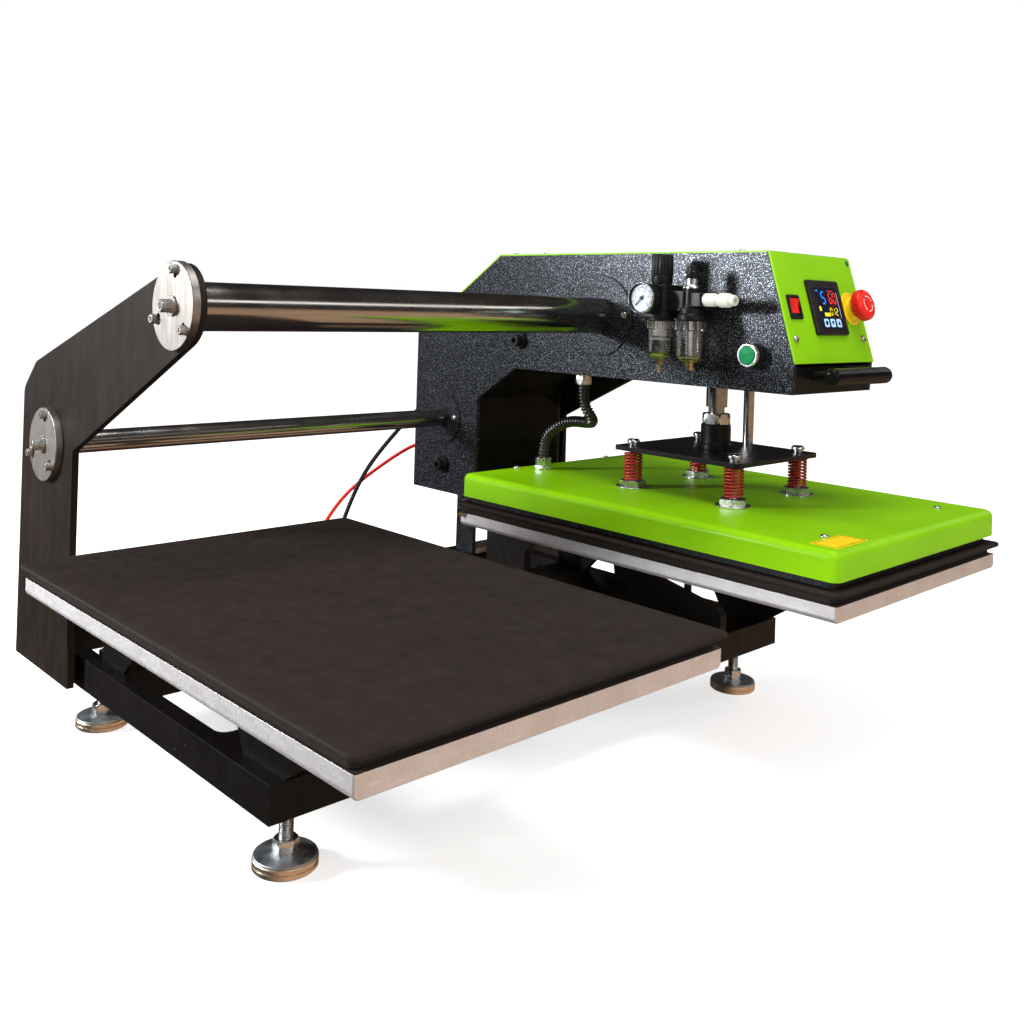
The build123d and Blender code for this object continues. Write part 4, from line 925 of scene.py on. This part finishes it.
def add_ram_coupling(black, steel):
    """The coupling that joins the piston rod to the spring plate, and its lock nut."""
    profile = [(11.1, 0), (21.4, 0), (22, 0.6), (22, 7), (20.5, 8.5), (20.5, 33), (18.6, COUPLING_HEIGHT),
               (11.1, COUPLING_HEIGHT)]
    coupling = (lathe(profile, 64, closed=True), placed((STATION_X, PLATEN_Y, SPRING_PLATE_TOP)))
    make("rod_coupling", [coupling], black, "ram_coupling", "ram")
    lock = (nut(36, 14, 11.1), placed((STATION_X, PLATEN_Y, SPRING_PLATE_TOP + COUPLING_HEIGHT), turn=12))
    make("rod_lock_nut", [lock], steel, "ram_coupling", "ram")


def add_stops(material):
    """The four stop screws of the carriage, each on its collar."""
    seats, heads = [], []
    for side, face in HEAD_SIDES:
        for y, z in ((166, 477), (339, 267)):
            seats.append(placed((face, y, z), (side, 0, 0)))
            heads.append(placed((face + STOP_COLLAR * side, y, z), (side, 0, 0), 15))
    profile = [(0, -14), (6, -14), (6, 0), (12.2, 0), (13, 0.8), (13, STOP_COLLAR - 0.8), (12.2, STOP_COLLAR),
               (0, STOP_COLLAR)]
    stops = [(lathe(profile), *seats), (socket_screw(9, 10.5, 8), *heads)]
    make("stop_screws", stops, material, "carriage_stop_bolts")


def add_platen_fasteners(material):
    """Bolts and seat nuts of the four springs, and the conduit's lower fitting."""
    places = spring_places()
    head = SPRING_PLATE_TOP + 4
    shank = [(0, 260), (5, 260), (5, 342.3), (6.8, 342.3), (6.8, head), (0, head)]
    bolts = [(lathe(shank, 24), *[placed((x, y, 0)) for x, y in places]),
             (pan_screw(9, 5.5), *[placed((x, y, head), turn=x + y) for x, y in places])]
    make("hanging_bolts", bolts, material, "spring_bolts", "upper_platen")
    nuts = [placed((x, y, WASHER_TOP), turn=17 * i) for i, (x, y) in enumerate(places)]
    seats = [(nut(32, SPRING_BOTTOM - WASHER_TOP, 5.1), *nuts),
             (washer(5.1, 23, WASHER_TOP - COVER_TOP), *[placed((x, y, COVER_TOP)) for x, y in places])]
    make("seat_nuts", seats, material, "spring_seat_nuts", "upper_platen")
    x, y, top = CONDUIT_END
    fitting = [(washer(6, 13, 2), placed((x, y, COVER_TOP))),
               (nut(24, 4.4, 6), placed((x, y, COVER_TOP + 2), turn=9)),
               (nut(22, 11.6, 6), placed((x, y, top - 11.6), turn=24))]
    make("conduit_socket", fitting, material, "conduit_fitting_bottom", "upper_platen")


def add_carriage_fittings(steel, white):
    """The conduit's upper nut, the fittings of hose and cable at the back, and the white outlet fitting."""
    x, y, top = CONDUIT_TOP
    hose, cable = placed(HOSE_EXIT, (0, 1, 0)), placed(CABLE_EXIT, (0, 1, 0), 15)
    sleeve = [(3.2, 8), (6.6, 8), (6.6, 13), (5.8, 14), (3.2, 14)]
    metal = [(nut(22, 13, 6), placed(CONDUIT_TOP, turn=10)), (washer(6, 12.5, 2), placed((x, y, top + 13))),
             (nut(17, 8, 3.2), hose), (lathe(sleeve, 32, closed=True), hose),
             (nut(20, GLAND_HEIGHT, 3.6), cable)]
    make("line_fittings", metal, steel, "carriage_fittings")
    profile = [(0, 0), (7.2, 0), (8.2, 1), (8.2, 15), (7.2, 17.5), (6.2, 19), (7.4, 21), (8.8, 23.5),
               (8.8, 35.5), (8, 38), (6.8, 38.6), (6.8, 43.6), (5.8, 45), (4, 45), (4, 40), (0, 40)]
    outlet = [(lathe(profile), placed((FRL_X, LUBRICATOR_Y - 20.5, GAUGE_Z), (0, -1, 0)))]
    make("outlet_fitting", outlet, white, "carriage_fittings")


# Switches and the controller on the sloping panel

def add_switches(black, yellow, silver, red, white):
    """The frames of rocker, emergency stop and start buttons, and the stop's ribbed red head."""
    stop = on_panel(ESTOP_U, PANEL_V)
    sides = [placed((face, BUTTON_Y, BUTTON_Z), (side, 0, 0)) for side, face in HEAD_SIDES]
    sections = ((27, 31, 2.2, 0), (27, 31, 2.2, 1.8), (25.8, 29.8, 1.8, 2.5),
                (20.6, 24.4, 1, 2.5), (20.2, 24, 1, -8))
    bezel = shell([(rounded_rectangle(width, length, corner), z) for width, length, corner, z in sections])
    barrel = [(0, 0), (14.8, 0), (14.8, 4.6), (13.7, 5.4), (13.7, 6.4), (14.8, 7.2), (14.8, 12.6), (0, 12.6)]
    forms = [(bezel, on_panel(ROCKER_U, PANEL_V)), (lathe(barrel), *sides)]
    make("switch_frames", forms, black, "switch_bezels")
    ring = [(7.3, 0), (21.6, 0), (22, 0.4), (22, 2), (21.4, 2.5), (15, 2.5), (15, 4.4), (13.6, 7.6),
            (7.3, 7.6)]
    make("stop_ring", [(lathe(ring, 64, closed=True), stop)], yellow, "switch_bezels")
    ring = [(11.3, 12.6), (15, 12.6), (15, 15.6), (13.8, 17.8), (12, 17.8), (11.3, 17)]
    make("button_rings", [(lathe(ring, 64, closed=True), *sides)], silver, "switch_bezels")
    ribbed = fluted(20.6, 0.9, 30)
    profile = [(7.4, 12), (13.4, 12), (13.8, 12.5), (13.8, 13.4), (19, 13.8), (ribbed, 15), (ribbed, 21)]
    for angle in range(8, 91, 12):
        out, up = polar(5.8, angle)
        profile.append((14.6 + out, 21.2 + up))
    profile += [(13.6, 27), (7.4, 26.9)]
    middle = lathe([(0, 25.4), (7.4, 25.4), (7.4, 26.9), (0, 26.9)])
    cap = [(lathe(profile, 180, closed=True), stop), (middle, stop)]
    make("stop_head", cap, red, "estop_mushroom", "estop_mushroom")
    lid = on_panel(ESTOP_U, PANEL_V, STOP_HEAD_TOP)
    arrows = []
    for start in (20, 140, 260):
        end = start + 78
        turn = Matrix.Rotation(radians(end), 2)
        tip = [turn @ Vector(point) for point in ((8.2, 0), (11.8, 0), (10, 3.4))]
        arrows += [(strip(arc(10, start, end), 1.3, 0.12), lid), (shell([(tip, 0), (tip, 0.12)]), lid)]
    make("stop_arrows", arrows, white, body="estop_mushroom")


def add_controller(black):
    """The controller's raised frame, its dark window, the lit digits and the three keys."""
    face = on_panel(CONTROLLER_U, PANEL_V, CONTROLLER_FACE)
    lit = on_panel(CONTROLLER_U, PANEL_V, CONTROLLER_FACE + WINDOW_THICKNESS)
    sections = ((2, -0.4), (2, 0.2), (3, 0.6), (8, 0.6), (9, 0.1))
    rim = shell([(rounded_rectangle(76 - inset, 72 - inset, max(3 - inset / 2, 1)), z)
                 for inset, z in sections])
    make("controller_frame", [(rim, face)], black)
    glass = moulded("window_glass", (0.012, 0.012, 0.020), 0.12, 0.1, 0.01)
    window = cushion(56, 56, 1.5, 0, WINDOW_THICKNESS, 0.1, 3, -1.5)
    make("controller_window", [(window, face)], glass)

    def add_lit(name, forms, colour, strength):
        make(name, [(form, lit) for form in forms], glowing(name, colour, strength))

    dash = strip([(-23, 21.5), (-18, 21.5)], 1.8, 0.15)
    add_lit("lit_blue", digits({-8: "5"}, 12.5, 7.6, 15, 2.1) + [dash], (0.02, 0.18, 0.9), 1.0)
    line = strip([(5, 21.6), (19, 21.6)], 0.9, 0.15)
    add_lit("lit_red", digits({9: "6", 18.5: "0"}, 12, 6.4, 13, 1.7) + [line], (0.75, 0.02, 0.02), 1.0)
    bars = [cushion(13, 4.6, 0.8, 0, 0.15, 0.05, -6, -9.5), cushion(4.6, 6.4, 2, 0, 0.15, 0.05, -20, -2)]
    small = digits({5: "0", 11: "1", 18.5: "2"}, -5.5, 4.4, 9, 1.2)
    add_lit("lit_yellow", bars + small, (0.72, 0.66, 0.02), 0.9)
    keys = [cushion(10.8, 10.8, 2, 0, 0.3, 0.1, x, -20.5) for x in (-13, 2, 17)]
    add_lit("lit_keys", keys + [strip([(26.5, -14), (26.5, 20)], 0.7, 0.15)], (0.30, 0.52, 0.72), 0.75)
    dot = lathe([(0, 0.3), (3, 0.3), (3, 0.45), (0, 0.45)], 24)
    marks = [(dot, lit @ Matrix.Translation((-13, -20.5, 0)))]
    for x, up in ((2, -1), (17, 1)):
        arrow = [(x - 3.2, -20.5 - 2.4 * up), (x + 3.2, -20.5 - 2.4 * up), (x, -20.5 + 3 * up)]
        marks.append((shell([(arrow[::up], 0.3), (arrow[::up], 0.45)]), lit))
    make("key_marks", marks, glass)


def add_marks(yellow, black, green):
    """The bordered yellow plate on the heated platen's cover, and the green dot of the panel."""
    x, y, thickness = 151, -401, 0.3
    plate = [(cushion(68, 34, 2, 0, thickness, 0.1), placed((x, y, COVER_TOP)))]
    make("yellow_plate", plate, yellow, body="upper_platen")
    above = placed((x, y, COVER_TOP + thickness))
    corners = [(-31, -14), (31, -14), (31, 14), (-31, 14)]
    border = [(strip([a, b], 0.8, 0.1), above) for a, b in zip(corners, corners[1:] + corners[:1])]
    make("yellow_plate_border", border, black, body="upper_platen")
    dot = lathe([(0, 0), (4.2, 0), (4, 0.3), (0, 0.3)], 32)
    make("panel_dot", [(dot, on_panel(88, 134.5))], green)


# The air preparation unit on the arm's left

def add_air_unit(black, bright, clear, white, gilt, oil):
    """Filter and regulator on one body, the lubricator beside it, and a clear bowl under each."""
    left, right = placed((FRL_X, FILTER_Y, 0)), placed((FRL_X, LUBRICATOR_Y, 0))
    middle = (FILTER_Y + LUBRICATOR_Y) / 2
    cap = [(0, 571), (8.2, 571), (8.6, 571.6), (8.6, 579.4), (7.6, 580.4), (6.6, 580.4), (6.6, 586.2),
           (5.8, 587), (0, 587)]
    foot = [(0, 519), (17, 519), (17.8, 520), (17.8, 525.4), (15.2, 527.4), (15.2, 534), (11.4, 535),
            (11.4, 537), (10.4, 538), (10.4, 559), (0, 559)]
    collar = [(0, 516.5), (17.4, 516.5), (18, 517.2), (18, 521.4), (17.2, 522.4), (0, 522.4)]
    body = [cushion(42, 40, 5, 521, 563, 1.2, FRL_X, FILTER_Y), (lathe(collar), left),
            cushion(26, 34, 2, 530, 556, 1, FRL_X, middle - 4), (lathe(foot), right), (lathe(cap), right),
            cushion(20, 16, 2, 536, 554, 1, FRL_X, LUBRICATOR_Y - 13),
            cushion(22, 60, 0.6, 532, 536, 0.5, 195.5, middle),
            cushion(3, 60, 0.6, 512, 536, 0.4, 204.5, middle)]
    make("air_unit_body", body, black, "frl_body")
    sight = [(0, 559), (9.4, 559), (9.4, 561), (8.6, 562.4), (7.6, 563), (7.6, 571.5), (0, 571.5)]
    screw = placed((FRL_X - 5, LUBRICATOR_Y + 6, 574.5), (-0.75, 0.66, 0))
    head = [(lathe(sight), right), (pan_screw(3.2, 3), screw)]
    make("lubricator_head", head, bright, "frl_body")
    bowls = []
    for place, radius, bottom in ((left, 16, 468), (right, 18, 466)):
        notched = castellated(radius + 2.4, 2.2, 10)
        profile = [(radius - 1.6, 518), (notched, 518), (notched, 507), (radius, 506), (radius, bottom + 9),
                   (radius - 2, bottom + 4), (7.5, bottom), (5, bottom), (5, bottom + 2),
                   (radius - 4, bottom + 6), (radius - 1.6, bottom + 10)]
        bowls.append((lathe(profile, 96, closed=True), place))
    make("clear_bowls", bowls, clear, "frl_bowls")
    element = [(0, 497), (8.6, 497)]
    for ring in range(5):
        element += [(10.6, 498 + 4 * ring), (10.6, 500.6 + 4 * ring), (9.6, 501.2 + 4 * ring)]
    element += [(9.6, 518), (0, 518)]
    plate = [(0, 492.4), (12.4, 492.4), (12.8, 493), (12.8, 494.2), (3, 495.4), (3, 497.2), (0, 497.2)]
    stem = [(0, 474), (2.3, 474), (2.3, 518), (0, 518)]
    inside = [(lathe(element), left), (lathe(plate), left), (lathe(stem, 16), right)]
    make("filter_element", inside, white)
    pools = [(lathe([(0, 470.6), (9, 471), (11.5, 474), (0, 474)]), left),
             (lathe([(0, 468.6), (10, 469.4), (12.6, 472.6), (0, 472.6)]), right)]
    make("bowl_oil", pools, oil)
    cock = [(0, 450), (1.6, 450), (2.4, 451), (2.4, 463), (0, 463)]
    plug = [(0, 457), (5.6, 457), (6, 457.6), (6, 460), (5, 460.6), (5, 461.4), (6, 462), (6, 467.4),
            (0, 467.4)]
    cock_nut = (nut(11, 6.4, 2), placed((FRL_X, FILTER_Y, 462), turn=8))
    drains = [(lathe(cock, 24), left), cock_nut, (lathe(plug), right)]
    make("bowl_drains", drains, gilt, "frl_bowls")
    ribs = fluted(14, 1.0, 18)
    knob = [(0, 563.3), (13.2, 563.3), (13.4, 563.8), (13.4, 573.4), (12.8, 574.2), (ribs, 576),
            (ribs, 600), (12.2, 602), (6, 602), (5.6, 601.4), (0, 601.4)]
    knob = [(lathe(knob, 144), left)]
    make("ribbed_knob", knob, black, "regulator_knob", "regulator_knob")


def add_gauge(black, bright, white):
    """The gauge's case, its bright rim, and a plain numbered dial."""
    place = placed((GAUGE_X, FILTER_Y, GAUGE_Z), (-1, 0, 0))
    case = [(0, -4), (6, -4), (6, 0), (18, 0), (19.2, 1.2), (19.2, 17), (18.6, 17.8), (17.8, 17.6),
            (17.4, 16.6), (17.4, 14), (0, 14)]
    make("gauge_case", [(lathe(case, 64), place)], black, "pressure_gauge")
    rim = [(19.2, 12.8), (19.8, 13.2), (20, 14), (20, 16.4), (19.6, 17.4), (18.9, 17.7), (19.2, 17)]
    make("gauge_rim", [(lathe(rim, 64, closed=True), place)], bright, "pressure_gauge")
    dial = lathe([(0, 14), (17.3, 14), (17.3, DIAL_HEIGHT), (0, DIAL_HEIGHT)], 64)
    make("gauge_dial", [(dial, place)], white)
    right, up, out = Vector((0, -1, 0)), Vector((0, 0, 1)), Vector((-1, 0, 0))
    turn = Matrix((right, up, out)).transposed().to_4x4()
    face = Matrix.Translation((GAUGE_X - DIAL_HEIGHT, FILTER_Y, GAUGE_Z)) @ turn
    angles = [DIAL_ZERO - DIAL_STEP * i for i in range(11)]
    ticks = [face @ Matrix.Rotation(radians(angle), 4, "Z") for angle in angles]
    ring = strip(arc(13.4, DIAL_ZERO - 10 * DIAL_STEP, DIAL_ZERO, 40), 0.5, 0.1)
    forms = [(strip([(13.6, 0), (16.2, 0)], 0.6, 0.1), *ticks), (ring, face)]
    for i in range(0, 11, 2):
        x, y = polar(10.4, angles[i])
        first = x - 1.1 * (len(str(i)) - 1)
        figures = {first + 2.2 * n: character for n, character in enumerate(str(i))}
        forms += [(form, face) for form in digits(figures, y, 1.5, 2.6, 0.45)]
    make("gauge_print", forms, black)


# Setting the scene

def add_world():
    """A world that differs by the kind of ray: white to the camera, and even to diffuse rays.

    Glossy rays see a dim studio with a bright patch at the left rear, which the left faces mirror. At the
    right front it is tan below the horizon, for the front faces to mirror, and has a bright window above
    it, which the shafts mirror as a streak.
    """
    world = bpy.data.worlds.new("world")
    bpy.context.scene.world = world
    world.use_nodes = True
    net = Nodes(world.node_tree)
    ray = net.add("ShaderNodeTexCoord").outputs["Generated"]
    height = net.add("ShaderNodeSeparateXYZ", {"Vector": ray}).outputs["Z"]

    def towards(x, y):
        node = net.add("ShaderNodeVectorMath", {0: ray, 1: (x, y, 0)}, operation="DOT_PRODUCT")
        return node.outputs["Value"]

    patch = net.mix(net.span(height, -0.06, -0.14), (0.50, 0.48, 0.47), (0.32, 0.25, 0.20))
    studio = net.mix(net.span(towards(-0.37, 0.93), 0.945, 0.995), (0.030, 0.027, 0.027), patch)
    tan = net.mix(net.span(height, -0.14, 0.03), (0.63, 0.41, 0.26), (0.040, 0.034, 0.030))
    from_middle = net.both(net.both(height, 0.42, "SUBTRACT"), 0.0, "ABSOLUTE")
    tan = net.mix(net.span(from_middle, 0.075, 0.045), tan, (1.8, 1.72, 1.66))
    studio = net.mix(net.span(towards(0.30, -0.95), -0.1, 0.5), studio, tan)
    paths = net.add("ShaderNodeLightPath").outputs
    bright = net.both(net.both(paths["Is Camera Ray"], paths["Is Glossy Ray"], "MAXIMUM"),
                      paths["Is Transmission Ray"], "MAXIMUM")
    background = world.node_tree.nodes["Background"]
    net.put(background.inputs["Color"], net.mix(paths["Is Glossy Ray"], (1.0, 1.0, 1.0), studio))
    net.put(background.inputs["Strength"], net.span(bright, 0.0, 1.0, 0.5, 1.0))


def add_lamps():
    """A key lamp at the left rear, and weak lamps above and in front."""
    lamps = (("key", (-2.35, 1.6, 1.06), 0.5, 98, (0.96, 0.98, 1.0)),
             ("top", (-0.2, -0.6, 2.8), 1.4, 50, (1.0, 0.98, 0.95)),
             ("front", (-0.5, -2.6, 1.5), 1.2, 16, (1.0, 0.97, 0.94)))
    target = Vector((0, 0, 0.3))
    for name, place, size, power, colour in lamps:
        data = bpy.data.lights.new(name, "AREA")
        data.size = size
        data.energy = power
        data.color = colour
        lamp = bpy.data.objects.new(name, data)
        lamp.location = place
        lamp.rotation_euler = (target - Vector(place)).to_track_quat("-Z", "Y").to_euler()
        bpy.context.scene.collection.objects.link(lamp)


def add_floor():
    """A white floor that keeps the machine's shadow and isn't mirrored."""
    look = Look("floor", 0.9, Emission_Color=(1, 1, 1, 1), Specular_IOR_Level=0.0)
    look.base(look.noise(3, 2), (0.88, 0.88, 0.88), (0.92, 0.92, 0.92))
    camera_ray = look.add("ShaderNodeLightPath").outputs["Is Camera Ray"]
    look.set(Emission_Strength=look.both(camera_ray, 0.62))
    mesh = bpy.data.meshes.new("floor")
    reach = 40.0
    corners = [(-reach, -reach, 0), (reach, -reach, 0), (reach, reach, 0), (-reach, reach, 0)]
    mesh.from_pydata(corners, [], [(0, 1, 2, 3)])
    mesh.materials.append(look.material)
    floor = bpy.data.objects.new("floor", mesh)
    floor.location.z = -0.0005
    floor.visible_glossy = False
    bpy.context.scene.collection.objects.link(floor)


def paint(material, *names):
    """Gives CAD nodes their material."""
    for name in names:
        for slot in nodes[name].material_slots:
            slot.material = material


def main():
    add_camera()
    bpy.context.scene.view_settings.view_transform = "Standard"
    black_plastic = moulded("black_plastic", (0.009, 0.0085, 0.0085), 0.34)
    white_plastic = moulded("white_plastic", (0.68, 0.66, 0.60), 0.3, 0.04)
    red_plastic = moulded("red_plastic", (0.80, 0.022, 0.014), 0.25, 0.08)
    yellow = moulded("yellow_plastic", (0.93, 0.66, 0.01), 0.35, 0.06)
    zinc_plate = zinc()
    gilt = zinc("yellow_zinc", (0.50, 0.36, 0.19), (0.72, 0.57, 0.34))
    rim_zinc = zinc("rim_zinc", (0.70, 0.58, 0.43), (0.86, 0.74, 0.58), 0.42)
    blue_zinc = zinc("blue_zinc", (0.44, 0.47, 0.49), (0.60, 0.63, 0.66), 0.5)
    chrome = zinc("bright_chrome", (0.78, 0.79, 0.82), (0.88, 0.89, 0.92))
    satin = satin_black()
    sheath = moulded("cable_sheath", (0.010, 0.010, 0.010), 0.45)
    add_cords(sheath, moulded("hose_skin", (0.74, 0.02, 0.012), 0.25, 0.1), black_plastic)
    paint(powder_coat(), "base_frame", "platen_supports", "rear_panel")
    paint(side_plate_paint(), "left_side_plate", "right_side_plate")
    paint(hammertone(), "carriage_plate_left", "carriage_plate_right", "upper_bearings", "lower_bearings")
    paint(chromed_shaft(), "upper_rail", "lower_rail", "piston_rod", "guide_rod")
    paint(brushed_disc(), "rail_end_discs")
    paint(zinc_plate, "carriage_spacers", "heating_element")
    paint(slab_aluminium(), "left_lower_platen", "right_lower_platen", "air_cylinder")
    paint(heated_slab(), "heat_platen")
    paint(green_paint(), "head_cover", "control_panel", "platen_cover")
    paint(gloss_black(), "head_underside", "front_handle")
    paint(satin, "spring_plate")
    paint(black_plastic, "temperature_controller", "solenoid_valve", "power_plug", "estop_stem",
          "gauge_needle")
    paint(brass(), "air_connector")
    paint(red_plastic, "power_rocker")
    green_plastic = moulded("green_plastic", (0.003, 0.25, 0.075), 0.25, 0.08)
    paint(green_plastic, "start_button_left", "start_button_right")
    add_pads(foam(), rubber_sheet())
    add_springs(spring_paint())
    add_conduit(moulded("conduit_nylon", (0.0045, 0.0045, 0.0045), 0.36, specular=0.9))
    add_disc_screws(zinc_plate)
    add_flange_screws(zinc_plate)
    add_cover_screws(zinc_plate)
    add_slab_lug(gilt)
    add_feet(zinc_plate, blue_zinc, rim_zinc)
    add_ram_coupling(satin, zinc_plate)
    add_stops(satin)
    add_platen_fasteners(zinc_plate)
    add_carriage_fittings(zinc_plate, white_plastic)
    add_switches(black_plastic, yellow, chrome, red_plastic, white_plastic)
    add_controller(black_plastic)
    add_marks(yellow, black_plastic, moulded("dot_green", (0.004, 0.14, 0.05), 0.3, 0.08))
    oil = moulded("bowl_oil", (0.34, 0.35, 0.10), 0.15, 0.1)
    add_air_unit(black_plastic, chrome, clear_plastic(), white_plastic, gilt, oil)
    add_gauge(black_plastic, chrome, moulded("dial_white", (0.60, 0.67, 0.76), 0.35, 0.03, 0.005))
    add_world()
    add_lamps()
    add_floor()


main()
